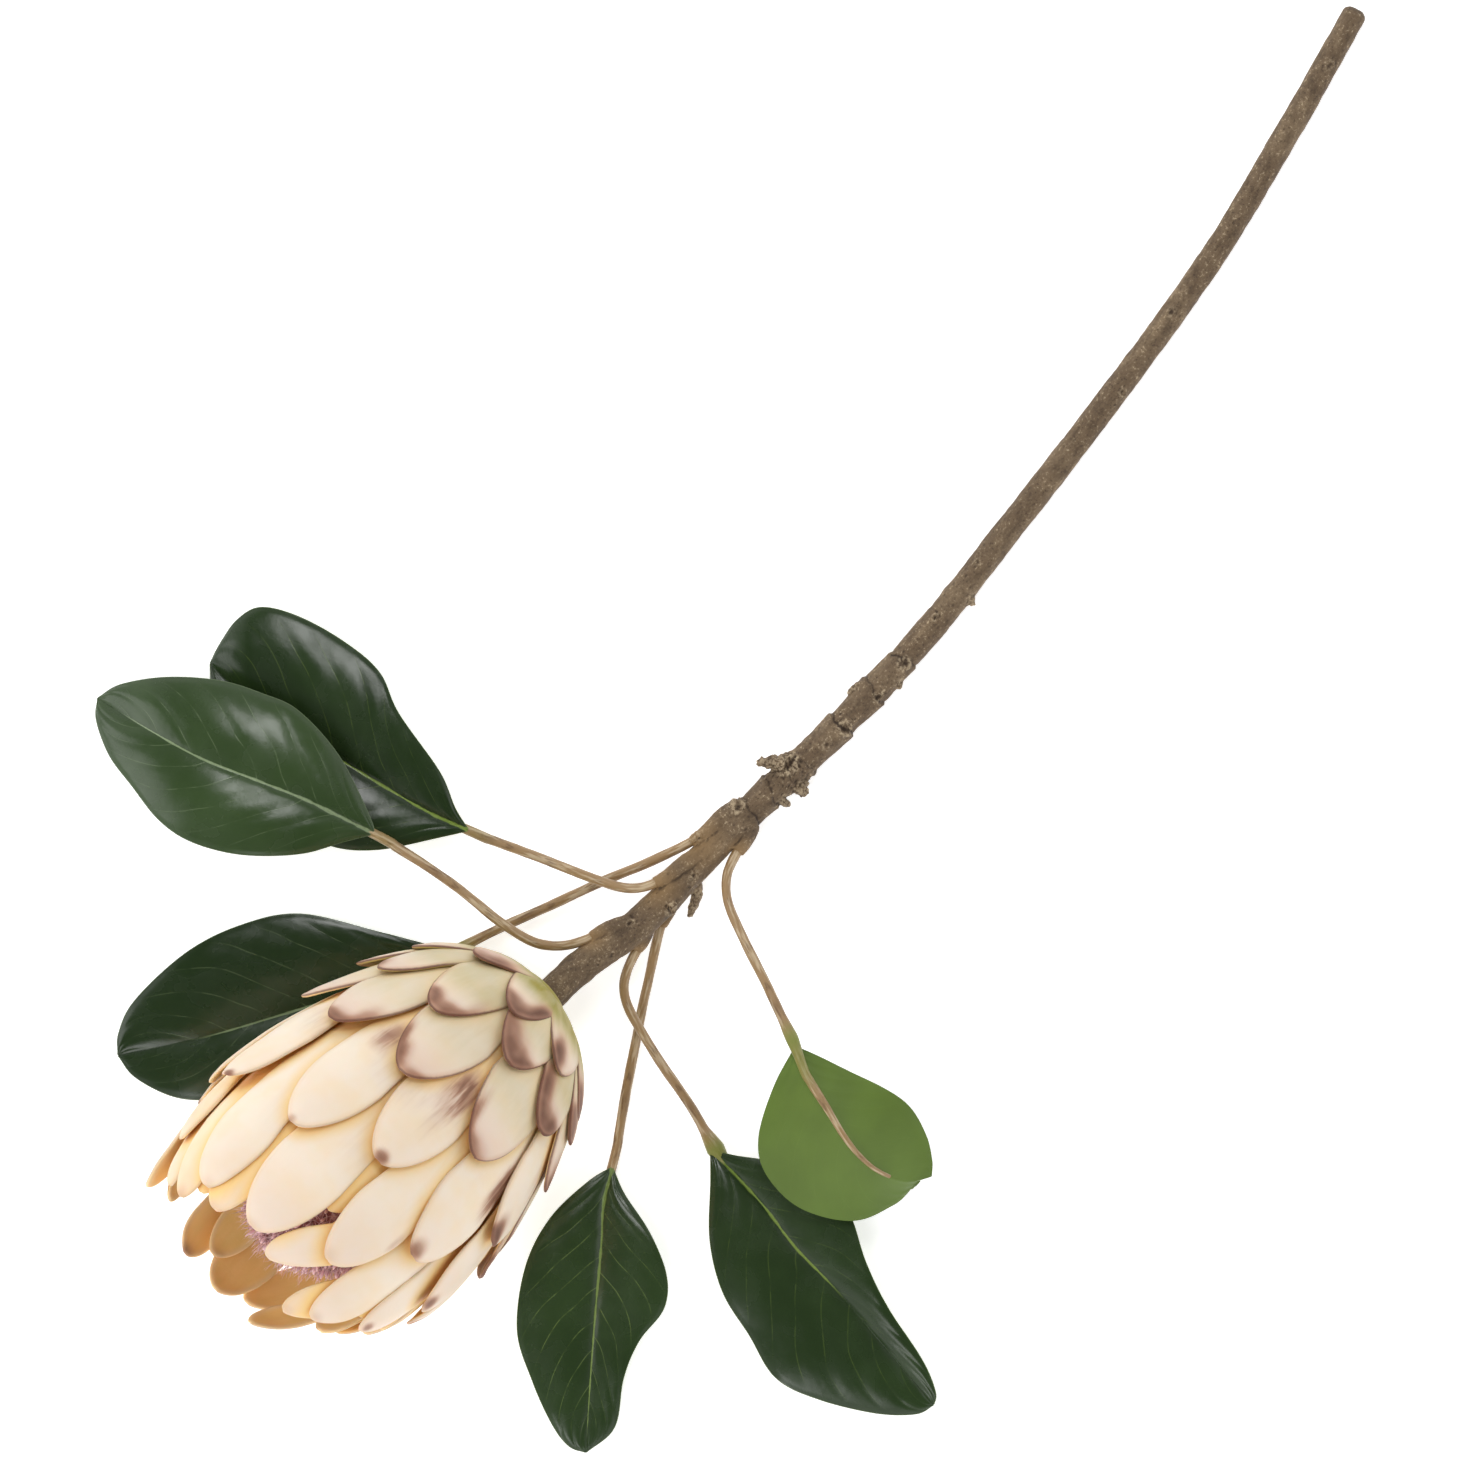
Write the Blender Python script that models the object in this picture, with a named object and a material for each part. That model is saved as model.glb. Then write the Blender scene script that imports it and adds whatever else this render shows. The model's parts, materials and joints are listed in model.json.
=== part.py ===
"""A cut protea stem lying on its side: woody stem, six stalked leaves and a half-open flower head.

The frame is in metres with +Z up. The stem runs along +X from the flower to its cut end, and the
lowest points of the head, the stem and the leaf tips lie on z = 0. Sizes below are in millimetres.
"""

import math

import bmesh
import bpy
import numpy as np
from mathutils import Matrix

MM = 0.001
GAP = 0.3  # clearance between two pieces that touch

# Stem: points along the middle of the stem, from inside the flower to the cut end.
STEM_BASE = (-165.0, 4.0, 33.4)
STEM_ROUTE = (
    STEM_BASE,
    (-145.0, 2.0, 26.6),
    (-121.0, -4.0, 19.4),
    (-90.0, -6.0, 13.6),
    (-61.0, -8.0, 10.4),
    (-23.0, -12.0, 8.0),
    (8.0, -14.0, 6.6),
    (43.0, -15.0, 6.0),
    (88.0, -13.0, 5.8),
    (154.0, -9.5, 5.5),
    (224.0, -3.5, 5.3),
    (290.0, 8.0, 5.2),
    (335.0, 17.0, 5.1),
)
STEM_RADII = (6.5, 6.5, 6.5, 6.2, 6.1, 5.8, 5.7, 5.5, 5.4, 5.2, 5.0, 5.0, 4.7)
STEM_TENON = 7.5  # how far the stem's end reaches into the flower head
CUT_END_ROUNDING = 3.0
# Ring scars: distance along the stem from the flower, height of the ridge, its half length.
RING_SCARS = (
    (104.0, 0.7, 4.0),
    (120.0, 0.9, 5.0),
    (134.0, 0.8, 3.5),
    (157.0, 0.9, 3.0),
    (172.0, 0.8, 3.0),
    (184.0, 0.9, 3.0),
    (196.0, 0.7, 2.5),
    (226.0, 0.5, 3.0),
    (300.0, 0.3, 3.0),
    (392.0, 0.3, 3.0),
)
# Broken stubs and buds: x, y, z and radius of each point.
STUBS = (
    ((-40.0, -8.0, 10.0, 2.4), (-40.0, -2.0, 12.5, 2.4), (-42.0, 3.0, 13.5, 1.6)),
    ((-92.0, -9.0, 10.0, 2.4), (-96.0, -14.0, 6.5, 2.4), (-103.0, -17.0, 4.5, 1.7)),
    ((-37.0, -13.0, 8.5, 3.0), (-41.0, -19.0, 7.5, 2.2)),
    ((-48.0, -12.0, 8.5, 2.8), (-49.0, -17.5, 7.5, 1.8)),
    ((62.0, -16.0, 6.5, 2.6), (61.0, -21.0, 6.5, 1.7)),
)

# Leaf stalks: route from inside the stem to the foot of the blade, and the length of the sheath.
STALK_RADIUS = 1.9
STALK_SOCKET = 7.0  # how far a stalk sits in its sheath
SHEATH_RADII = (3.6, 3.4, 2.7)
RIB_TIP_RADIUS = 0.7
STALKS = {
    1: dict(
        sheath=17.0,
        route=(
            (-122.0, -1.0, 22.5),
            (-130.0, 4.0, 25.5),
            (-139.0, 8.0, 26.5),
            (-147.0, 14.0, 25.5),
            (-152.5, 23.0, 24.0),
            (-155.0, 38.0, 22.5),
            (-156.0, 62.0, 20.0),
            (-160.0, 93.0, 18.6),
        ),
    ),
    2: dict(
        sheath=24.0,
        route=(
            (-82.0, -5.0, 14.5),
            (-92.0, -2.0, 18.5),
            (-101.0, 0.5, 20.5),
            (-108.0, 4.0, 21.0),
            (-113.5, 10.0, 20.5),
            (-118.0, 20.0, 18.5),
            (-126.0, 42.0, 12.5),
            (-135.0, 66.0, 6.6),
        ),
    ),
    3: dict(
        sheath=30.0,
        route=(
            (-54.0, -7.0, 10.5),
            (-66.0, -2.5, 14.0),
            (-76.0, -0.5, 15.0),
            (-84.0, 2.0, 14.0),
            (-99.0, 8.5, 12.5),
            (-118.0, 18.0, 10.5),
            (-138.0, 27.0, 8.5),
            (-155.0, 35.0, 7.0),
            (-169.0, 41.0, 4.7),
        ),
    ),
    4: dict(
        sheath=15.0,
        route=(
            (-102.0, -5.0, 14.0),
            (-109.0, -9.0, 12.0),
            (-116.0, -11.5, 10.0),
            (-123.0, -15.0, 8.5),
            (-134.0, -21.0, 7.0),
            (-146.0, -27.5, 6.3),
            (-159.0, -35.0, 6.0),
            (-178.0, -46.0, 5.6),
            (-195.0, -56.5, 5.6),
        ),
    ),
    5: dict(
        sheath=14.0,
        route=(
            (-116.0, -5.0, 19.0),
            (-123.0, -9.0, 18.5),
            (-130.0, -10.5, 18.0),
            (-137.0, -12.5, 17.5),
            (-143.0, -16.0, 17.0),
            (-147.5, -22.0, 16.0),
            (-151.0, -31.0, 15.0),
            (-156.0, -47.0, 13.0),
            (-161.0, -66.0, 11.0),
            (-166.0, -80.0, 9.8),
        ),
    ),
    6: dict(
        sheath=15.0,
        route=(
            (-60.0, -10.0, 10.5),
            (-69.0, -14.0, 12.0),
            (-77.0, -15.5, 14.0),
            (-84.5, -18.5, 17.5),
            (-91.0, -25.0, 21.5),
            (-97.0, -37.0, 26.5),
            (-104.0, -54.0, 33.0),
            (-111.0, -70.0, 38.0),
            (-115.5, -80.0, 40.8),
        ),
    ),
}

# Leaf blades: middle line and both edges from foot to tip, seen along the leaf from its foot.
BLADE_THICKNESS = 1.0
LEAF_ROWS = 12
LEAF_HALF_COLUMNS = 3
LEAVES = {
    1: dict(
        rib=0.72,
        middle=(
            (-161.0, 97.0, 21.0),
            (-165.0, 113.0, 24.0),
            (-169.0, 128.0, 25.0),
            (-176.0, 148.0, 25.0),
            (-183.0, 168.0, 23.0),
            (-188.0, 191.0, 16.0),
            (-192.0, 214.5, 4.0),
        ),
        left=(
            (-171.0, 104.0, 23.0),
            (-186.0, 114.0, 26.0),
            (-201.0, 131.0, 27.0),
            (-210.0, 149.0, 25.0),
            (-212.0, 164.0, 21.0),
            (-209.0, 181.0, 16.0),
            (-206.0, 196.0, 11.0),
            (-199.0, 209.0, 6.0),
        ),
        right=(
            (-157.0, 103.0, 23.0),
            (-147.0, 127.0, 26.0),
            (-144.0, 151.0, 27.0),
            (-148.0, 166.0, 26.0),
            (-155.0, 182.0, 24.0),
            (-168.0, 199.0, 19.0),
            (-182.0, 211.0, 10.0),
        ),
    ),
    2: dict(
        rib=0.6,
        middle=(
            (-136.0, 70.0, 9.0),
            (-141.0, 87.0, 9.5),
            (-145.0, 108.0, 9.0),
            (-151.0, 144.0, 7.5),
            (-154.0, 168.0, 6.0),
            (-153.0, 190.0, 3.0),
        ),
        left=(
            (-147.0, 78.0, 10.0),
            (-165.0, 92.0, 11.0),
            (-176.0, 107.0, 10.0),
            (-181.0, 127.0, 9.0),
            (-179.0, 149.0, 8.0),
            (-170.0, 173.0, 6.0),
        ),
        right=(
            (-133.0, 80.0, 11.0),
            (-126.0, 94.0, 12.0),
            (-119.0, 121.0, 12.0),
            (-112.0, 137.0, 11.0),
            (-112.0, 155.0, 9.0),
            (-116.0, 175.0, 7.0),
            (-123.0, 189.0, 5.0),
            (-133.0, 193.0, 4.0),
            (-145.0, 192.0, 3.0),
        ),
    ),
    3: dict(
        rib=0.55,
        middle=(
            (-172.0, 42.0, 7.0),
            (-189.0, 50.0, 6.2),
            (-215.0, 64.0, 6.0),
            (-241.0, 80.0, 6.0),
            (-267.0, 97.0, 5.5),
            (-293.0, 117.0, 2.5),
        ),
        left=(
            (-183.0, 40.5, 6.0),
            (-200.0, 43.5, 5.0),
            (-224.0, 49.5, 4.5),
            (-250.0, 58.0, 4.5),
            (-272.0, 69.0, 4.5),
            (-289.0, 86.0, 4.0),
            (-295.0, 105.0, 3.0),
        ),
        right=(
            (-178.0, 49.0, 8.0),
            (-189.0, 71.0, 9.0),
            (-204.0, 99.0, 9.0),
            (-223.0, 114.0, 8.0),
            (-245.0, 123.0, 7.0),
            (-272.0, 126.0, 5.0),
            (-286.0, 122.5, 3.5),
        ),
    ),
    4: dict(
        rib=0.6,
        middle=(
            (-199.0, -58.5, 8.0),
            (-212.0, -65.0, 9.5),
            (-225.0, -75.0, 10.0),
            (-243.0, -88.0, 9.5),
            (-262.0, -102.0, 8.0),
            (-278.0, -114.0, 5.0),
            (-291.0, -124.0, 2.0),
        ),
        left=(
            (-204.0, -69.0, 10.0),
            (-209.0, -87.0, 13.0),
            (-217.0, -102.0, 13.0),
            (-228.0, -110.0, 12.0),
            (-244.0, -111.0, 10.0),
            (-259.0, -116.0, 8.0),
            (-276.0, -126.0, 4.0),
        ),
        right=(
            (-209.0, -55.0, 10.0),
            (-230.0, -53.0, 12.0),
            (-251.0, -58.0, 13.0),
            (-272.0, -72.0, 11.0),
            (-283.0, -89.0, 8.0),
            (-291.0, -106.0, 5.0),
            (-293.5, -117.0, 3.0),
        ),
    ),
    5: dict(
        rib=0.55,
        middle=(
            (-169.0, -83.0, 12.0),
            (-170.0, -97.0, 13.0),
            (-172.0, -114.0, 13.5),
            (-176.0, -133.0, 13.0),
            (-178.0, -155.0, 12.0),
            (-181.0, -175.0, 10.0),
            (-185.0, -199.0, 6.0),
            (-187.5, -215.0, 3.0),
        ),
        left=(
            (-164.0, -92.0, 14.0),
            (-156.0, -105.0, 16.0),
            (-150.0, -123.0, 17.0),
            (-152.0, -140.0, 17.0),
            (-162.0, -158.0, 17.0),
            (-171.0, -178.0, 15.0),
            (-177.0, -200.0, 9.0),
            (-183.0, -212.0, 5.0),
        ),
        right=(
            (-178.0, -91.0, 14.0),
            (-196.0, -106.0, 15.0),
            (-208.0, -123.0, 14.0),
            (-214.0, -142.0, 12.0),
            (-220.0, -161.0, 9.0),
            (-215.0, -180.0, 6.0),
            (-205.0, -200.0, 4.0),
            (-195.0, -212.0, 3.0),
        ),
    ),
    6: dict(
        rib=0.78,
        middle=(
            (-116.0, -81.0, 39.0),
            (-121.0, -90.0, 42.0),
            (-125.5, -104.0, 45.0),
            (-131.0, -122.0, 44.0),
            (-132.0, -136.0, 39.0),
            (-128.0, -148.0, 31.0),
            (-121.0, -154.0, 24.0),
        ),
        left=(
            (-111.0, -98.0, 38.0),
            (-106.0, -118.0, 35.0),
            (-105.0, -131.0, 32.0),
            (-109.0, -143.0, 28.0),
            (-115.0, -151.0, 25.0),
        ),
        right=(
            (-133.0, -85.0, 37.0),
            (-153.0, -94.0, 33.0),
            (-162.0, -106.0, 28.0),
            (-163.0, -124.0, 24.0),
            (-153.0, -143.0, 21.0),
            (-139.0, -151.0, 21.0),
            (-129.0, -154.0, 22.0),
        ),
    ),
}

# Flower head: its axis starts a little beside the stem's and rises from the surface.
HEAD_HEADING = math.radians(173.2)
HEAD_TILT = math.radians(20.0)
HEAD_OFFSET = 3.0
# Outer shape of the closed head: height along the axis and radius.
ENVELOPE = (
    (0.0, 8.0),
    (6.0, 24.0),
    (12.0, 33.0),
    (19.0, 40.0),
    (29.0, 46.5),
    (39.0, 51.0),
    (58.0, 57.0),
    (77.0, 61.0),
    (97.0, 63.0),
    (116.0, 63.0),
    (136.0, 60.0),
    (155.0, 53.5),
    (166.0, 47.0),
    (176.0, 40.0),
)
# Receptacle that carries the bracts: height along the axis and radius, from the stem to its top.
CORE = (
    (0.3, 0.0),
    (0.3, 12.0),
    (2.0, 15.0),
    (6.0, 20.5),
    (14.0, 25.0),
    (30.0, 28.0),
    (60.0, 29.0),
    (97.0, 29.0),
    (100.0, 27.0),
    (100.0, 0.0),
)
CORE_SIDES = 16

BRACTS_IN_RING = 10
BRACT_COLUMNS = 5
BRACT_THICKNESS = 1.2
SHINGLE = 0.09  # how much a bract sinks under its neighbours for each mm below its tip
TIP_REACH = 8.0  # length over which a tip bends outwards
CURL = 0.82  # a bract's own sideways radius, as a share of the head's radius
ROUNDED_END = 1.05  # length of a bract's rounded end, as a share of its width
WAIST = 0.64  # how much a bract narrows from its widest place to its foot
# Each ring from the outside in: azimuth of its first bract, height of its tips, width of its bracts,
# extra depth under the outer shape, height of the foot, how far the tips bend outwards, and the rows
# of points that give a bract its bend.
RINGS = (
    dict(turn=3.0, tip=31.0, width=27.0, depth=0.0, foot=1.5, flare=1.0, rows=4),
    dict(turn=-11.0, tip=52.0, width=28.5, depth=0.0, foot=3.0, flare=1.0, rows=5),
    dict(turn=13.0, tip=84.5, width=32.5, depth=0.0, foot=5.0, flare=0.8, rows=5),
    dict(turn=-5.0, tip=127.0, width=31.0, depth=0.0, foot=8.0, flare=0.4, rows=6),
    dict(turn=12.5, tip=166.0, width=27.5, depth=0.0, foot=12.0, flare=0.0, rows=6),
    dict(turn=-7.0, tip=170.0, width=24.0, depth=2.4, foot=16.0, flare=0.0, rows=5),
    dict(turn=13.0, tip=166.0, width=22.0, depth=4.8, foot=20.0, flare=0.0, rows=5),
)
# Bracts that grew out of step: (ring, place in ring): (turn in degrees, change of tip height, flare).
ODD_BRACTS = {
    (0, 1): (6.0, -7.0, 5.0),
    (1, 0): (0.0, -4.0, 0.0),
    (1, 1): (0.0, 3.0, 0.0),
    (1, 3): (-10.0, -3.0, 1.5),
    (1, 8): (14.0, -12.0, 1.0),
    (1, 9): (4.0, 1.0, 0.0),
    (2, 2): (3.0, -7.0, 1.5),
    (2, 8): (-15.0, -25.0, 1.0),
    (2, 9): (-3.0, 0.0, 0.0),
    (3, 0): (1.0, -10.5, 0.0),
    (3, 1): (-4.5, 2.0, 0.0),
    (3, 7): (18.0, -31.0, 1.5),
    (3, 8): (13.0, -33.0, 1.0),
    (4, 1): (-5.0, -1.0, 0.0),
    (4, 2): (7.0, -45.0, 1.5),
    (4, 3): (0.0, -9.0, 0.0),
    (4, 5): (0.0, -3.0, 0.0),
    (4, 6): (0.0, -22.0, 0.0),
    (4, 7): (0.0, -36.0, -2.0),
    (4, 8): (-12.0, -36.0, 0.5),
    (4, 9): (2.0, -12.0, 0.0),
    (5, 1): (5.0, -1.0, 0.0),
    (5, 2): (-5.0, 1.0, 0.0),
    (5, 3): (-18.0, -19.0, 0.0),
    (5, 4): (0.0, -12.0, 0.0),
    (5, 5): (0.0, -5.0, 0.0),
    (5, 6): (0.0, -8.0, 0.0),
    (5, 7): (0.0, -30.0, 0.0),
    (5, 8): (12.0, -16.0, 0.0),
    (5, 9): (-3.0, -2.0, 0.0),
    (6, 3): (0.0, -4.0, 0.0),
    (6, 4): (-3.0, 1.0, 0.0),
    (6, 5): (0.0, -4.0, 0.0),
    (6, 6): (0.0, -16.0, 0.0),
    (6, 7): (0.0, -26.0, 0.0),
    (6, 8): (0.0, -14.0, 0.0),
}

# Dome of florets: height along the axis and radius, and how far each floret stands out.
DOME = (
    (100.3, 0.0),
    (100.3, 26.0),
    (106.0, 31.0),
    (114.0, 34.0),
    (123.0, 34.0),
    (132.0, 31.5),
    (140.5, 27.0),
    (147.5, 20.5),
    (152.5, 13.0),
    (155.5, 5.5),
    (157.0, 0.0),
)
DOME_TIP_CELLS = 150.0  # above this height the three-sided cells at the tip are raised too
DOME_COLUMNS = 22
FLORET_HEIGHT = 3.4

FLOOR_BLOCK = 200.0  # side of the block that cuts the flat spot under the head


def clear_scene():
    for obj in list(bpy.data.objects):
        bpy.data.objects.remove(obj, do_unlink=True)


def smooth_line(points, steps):
    """A smooth curve through the points, with this many steps between neighbours."""
    p = np.array(points, float)
    p = np.vstack([2 * p[0] - p[1], p, 2 * p[-1] - p[-2]])
    t = np.linspace(0, 1, steps, endpoint=False)[:, None]
    spans = []
    for a, b, c, d in zip(p, p[1:], p[2:], p[3:]):
        bend = 2 * a - 5 * b + 4 * c - d
        twist = 3 * b - a - 3 * c + d
        spans.append(0.5 * (2 * b + (c - a) * t + bend * t**2 + twist * t**3))
    return np.vstack(spans + [p[-2:-1]])


def run_of(line):
    """Distance along a line at each of its points."""
    steps = np.linalg.norm(np.diff(line[:, :3], axis=0), axis=1)
    return np.concatenate([[0.0], np.cumsum(steps)])


def at_run(line, distances):
    """The points of a line at these distances from its start."""
    run = run_of(line)
    return np.array([np.interp(distances, run, column) for column in line.T]).T


def material(name, colour, roughness):
    made = bpy.data.materials.new(name)
    made.use_nodes = True
    shader = made.node_tree.nodes["Principled BSDF"]
    shader.inputs["Base Color"].default_value = (*colour, 1.0)
    shader.inputs["Roughness"].default_value = roughness
    shader.inputs["Metallic"].default_value = 0.0
    return made


def new_object(name, mesh):
    obj = bpy.data.objects.new(name, mesh)
    bpy.context.scene.collection.objects.link(obj)
    return obj


def object_of(name, bm):
    """A named object of this bmesh, with its faces turned outwards."""
    bmesh.ops.recalc_face_normals(bm, faces=bm.faces)
    mesh = bpy.data.meshes.new(name)
    bm.to_mesh(mesh)
    bm.free()
    return new_object(name, mesh)


def round_bar(name, line, level):
    """A closed bar of 2 * level + 4 sides along a line of x, y, z and radius."""
    curve = bpy.data.curves.new(name, "CURVE")
    curve.dimensions = "3D"
    curve.bevel_depth = MM
    curve.bevel_resolution = level
    curve.use_fill_caps = True
    spline = curve.splines.new("POLY")
    spline.points.add(len(line) - 1)
    for point, (x, y, z, radius) in zip(spline.points, line):
        point.co = (x * MM, y * MM, z * MM, 1.0)
        point.radius = radius
    guide = new_object(name + "_guide", curve)
    bpy.context.view_layer.update()
    evaluated = guide.evaluated_get(bpy.context.evaluated_depsgraph_get())
    bm = bmesh.new()
    bm.from_mesh(evaluated.to_mesh())
    evaluated.to_mesh_clear()
    bpy.data.objects.remove(guide, do_unlink=True)
    bmesh.ops.remove_doubles(bm, verts=bm.verts, dist=1e-6)
    return object_of(name, bm)


def thin_sheet(name, grid, thickness, side):
    """A closed sheet from a grid of points (rows, columns, 3), with both faces split alike."""
    rows, columns = grid.shape[:2]
    bm = bmesh.new()
    verts = [[bm.verts.new(grid[i, j] * MM) for j in range(columns)] for i in range(rows)]
    for i in range(rows - 1):
        for j in range(columns - 1):
            a, b = verts[i][j], verts[i][j + 1]
            c, d = verts[i + 1][j + 1], verts[i + 1][j]
            if j < (columns - 1) / 2:
                bm.faces.new((a, b, c))
                bm.faces.new((a, c, d))
            else:
                bm.faces.new((a, b, d))
                bm.faces.new((b, c, d))
    mesh = bpy.data.meshes.new(name)
    bm.to_mesh(mesh)
    bm.free()
    obj = new_object(name, mesh)
    wall = obj.modifiers.new("Wall", "SOLIDIFY")
    wall.thickness = thickness * MM
    wall.offset = side
    wall.use_even_offset = False
    return obj


def apply_modifiers(obj):
    bpy.context.view_layer.update()
    evaluated = obj.evaluated_get(bpy.context.evaluated_depsgraph_get())
    mesh = bpy.data.meshes.new_from_object(evaluated)
    obj.modifiers.clear()
    obj.data = mesh


def combine(base, pieces, operation, solver="EXACT"):
    """Joins the pieces to the base, or cuts them from it, in one Boolean, and removes them."""
    group = bpy.data.collections.new(base.name + "_" + operation.lower())
    bpy.context.scene.collection.children.link(group)
    for piece in pieces:
        for owner in list(piece.users_collection):
            owner.objects.unlink(piece)
        group.objects.link(piece)
        piece.hide_render = True
        piece.display_type = "WIRE"
    boolean = base.modifiers.new(operation.title(), "BOOLEAN")
    boolean.operation = operation
    boolean.operand_type = "COLLECTION"
    boolean.collection = group
    boolean.solver = solver
    apply_modifiers(base)
    for piece in pieces:
        bpy.data.objects.remove(piece, do_unlink=True)
    bpy.data.collections.remove(group)


def islands(bm):
    """The groups of faces that hang together."""
    left, groups = set(bm.faces), []
    while left:
        group, edge_of_group = set(), [left.pop()]
        while edge_of_group:
            face = edge_of_group.pop()
            group.add(face)
            near = {f for e in face.edges for f in e.link_faces} & left
            left -= near
            edge_of_group.extend(near)
        groups.append(group)
    return groups


def fill_hollows(obj):
    """Keeps only the outer skin, so that a space sealed between joined pieces is solid."""
    bm = bmesh.new()
    bm.from_mesh(obj.data)
    groups = sorted(islands(bm), key=len)
    inner = [face for group in groups[:-1] for face in group]
    bmesh.ops.delete(bm, geom=inner, context="FACES")
    bm.to_mesh(obj.data)
    bm.free()


def finish(obj, made):
    obj.data.materials.clear()
    obj.data.materials.append(made)
    obj.data.shade_smooth()
    obj.data.set_sharp_from_angle(angle=math.radians(35))


def stem_line():
    """Middle line of the stem with its radius, swollen at each ring scar and rounded at the cut end."""
    line = smooth_line([(*p, r) for p, r in zip(STEM_ROUTE, STEM_RADII)], 8)
    run = run_of(line)
    length = run[-1]
    scars = [place + shift for place, _, half in RING_SCARS for shift in (-half, 0.0, half)]
    even = np.arange(0.0, length - 2 * CUT_END_ROUNDING, 18.0)
    even = [d for d in even if min(abs(d - s) for s in scars) > 3.0]
    rounding = [length - CUT_END_ROUNDING * share for share in (1.0, 0.45, 0.12)]
    line = at_run(line, sorted([*even, *scars, *rounding, length]))
    run = run_of(line)
    for place, ridge, half in RING_SCARS:
        line[:, 3] += ridge * np.clip(1 - np.abs(run - place) / half, 0, 1)
        line[:, 2] += ridge * np.clip(1 - np.abs(run - place) / half, 0, 1)
    end = np.clip((run - (length - CUT_END_ROUNDING)) / CUT_END_ROUNDING, 0, 1)
    line[:, 3] *= np.sqrt(1 - 0.75 * end**2)
    tenon = line[0].copy()
    tenon[:3] += STEM_TENON * np.array(head_directions()[2])
    return np.vstack([tenon, line])


def head_directions():
    """Sideways, downwards and forwards directions of the flower head."""
    cos_h, sin_h = math.cos(HEAD_HEADING), math.sin(HEAD_HEADING)
    cos_t, sin_t = math.cos(HEAD_TILT), math.sin(HEAD_TILT)
    sideways = (sin_h, -cos_h, 0.0)
    downwards = (sin_t * cos_h, sin_t * sin_h, -cos_t)
    forwards = (cos_t * cos_h, cos_t * sin_h, sin_t)
    return sideways, downwards, forwards


def head_matrix():
    sideways, downwards, forwards = head_directions()
    place = [(STEM_BASE[i] + HEAD_OFFSET * sideways[i]) * MM for i in range(3)]
    turned = Matrix((sideways, downwards, forwards)).transposed().to_4x4()
    return Matrix.Translation(place) @ turned


def stalk_line(number):
    """A leaf stalk from its socket in the stem to the foot of its blade, and on as the blade's rib."""
    stalk, leaf = STALKS[number], LEAVES[number]
    route = smooth_line(stalk["route"], 4)
    start = stalk["sheath"] - STALK_SOCKET
    reach = run_of(route)[-1]
    route = at_run(route, np.linspace(start, reach, 13))
    middle = smooth_line(leaf["middle"], 6)
    along = run_of(middle)[-1] * leaf["rib"]
    rib = at_run(middle, np.linspace(0.12 * along, along, 6))
    radius = np.linspace(STALK_RADIUS, RIB_TIP_RADIUS, 6)
    under = 1.0 if number == 6 else -1.0
    rib[:, 2] += under * (BLADE_THICKNESS / 2 + GAP + 0.25 + radius)
    stalk_part = np.column_stack([route, np.full(len(route), STALK_RADIUS)])
    return np.vstack([stalk_part, np.column_stack([rib, radius])])


def sheath_line(number):
    """The first stretch of a stalk's route, with the radius of the sheath round it."""
    stalk = STALKS[number]
    line = at_run(smooth_line(stalk["route"], 4), np.linspace(0.0, stalk["sheath"], 6))
    radius = np.interp(np.linspace(0, 1, 6), (0, 0.5, 1), SHEATH_RADII)
    return np.column_stack([line, radius])


def socket_line(number):
    """The hole that a stalk stands in: the stalk's own line, wider and a little deeper."""
    line = stalk_line(number)
    line = line[: int(np.searchsorted(run_of(line), STALK_SOCKET + 8.0)) + 1]
    line[0, :3] += GAP * (line[0, :3] - line[1, :3]) / np.linalg.norm(line[0, :3] - line[1, :3])
    line[:, 3] = STALK_RADIUS + GAP
    return line


def build_stem():
    stem = round_bar("stem", stem_line(), 4)
    grown = []
    for number in STALKS:
        grown.append(round_bar(f"sheath_{number}", sheath_line(number), 2))
    for index, stub in enumerate(STUBS):
        grown.append(round_bar(f"stub_{index}", stub, 1))
    combine(stem, grown, "UNION")
    holes = [round_bar(f"socket_{number}", socket_line(number), 2) for number in STALKS]
    combine(stem, holes, "DIFFERENCE")
    return stem


def leaf_grid(leaf, rows, half_columns):
    """Points across a blade: rows from foot to tip, columns from the left edge to the right one."""
    foot, tip = leaf["middle"][0], leaf["middle"][-1]
    middle = smooth_line(leaf["middle"], 8)
    edges = [smooth_line((foot, *leaf[side], tip), 8) for side in ("left", "right")]
    share = 0.03 + 0.965 * np.sin(np.linspace(0, 1, rows) * math.pi / 2) ** 1.15
    lines = [at_run(line, share * run_of(line)[-1]) for line in (edges[0], middle, edges[1])]
    across = []
    for u in np.linspace(-1, 1, 2 * half_columns + 1):
        edge = lines[0] if u < 0 else lines[2]
        across.append(lines[1] + (edge - lines[1]) * abs(u))
    return np.array(across).transpose(1, 0, 2)


def build_leaf(number):
    grid = leaf_grid(LEAVES[number], LEAF_ROWS, LEAF_HALF_COLUMNS)
    return thin_sheet(f"leaf_blade_{number}", grid, BLADE_THICKNESS, 0.0)


def envelope(height):
    heights, radii = smooth_line(ENVELOPE, 8).T
    return np.interp(height, heights, radii)


def bract_middle(ring, tip, flare):
    """Middle line of a bract from tip to foot: distance from the tip, height and radius."""
    height = np.linspace(tip, ring["foot"], 80)
    below = tip - height
    radius = envelope(height) - SHINGLE * below - ring["depth"] + flare * np.exp(-below / TIP_REACH)
    distance = np.concatenate([[0.0], np.cumsum(np.hypot(np.diff(height), np.diff(radius)))])
    return distance, height, radius


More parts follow.
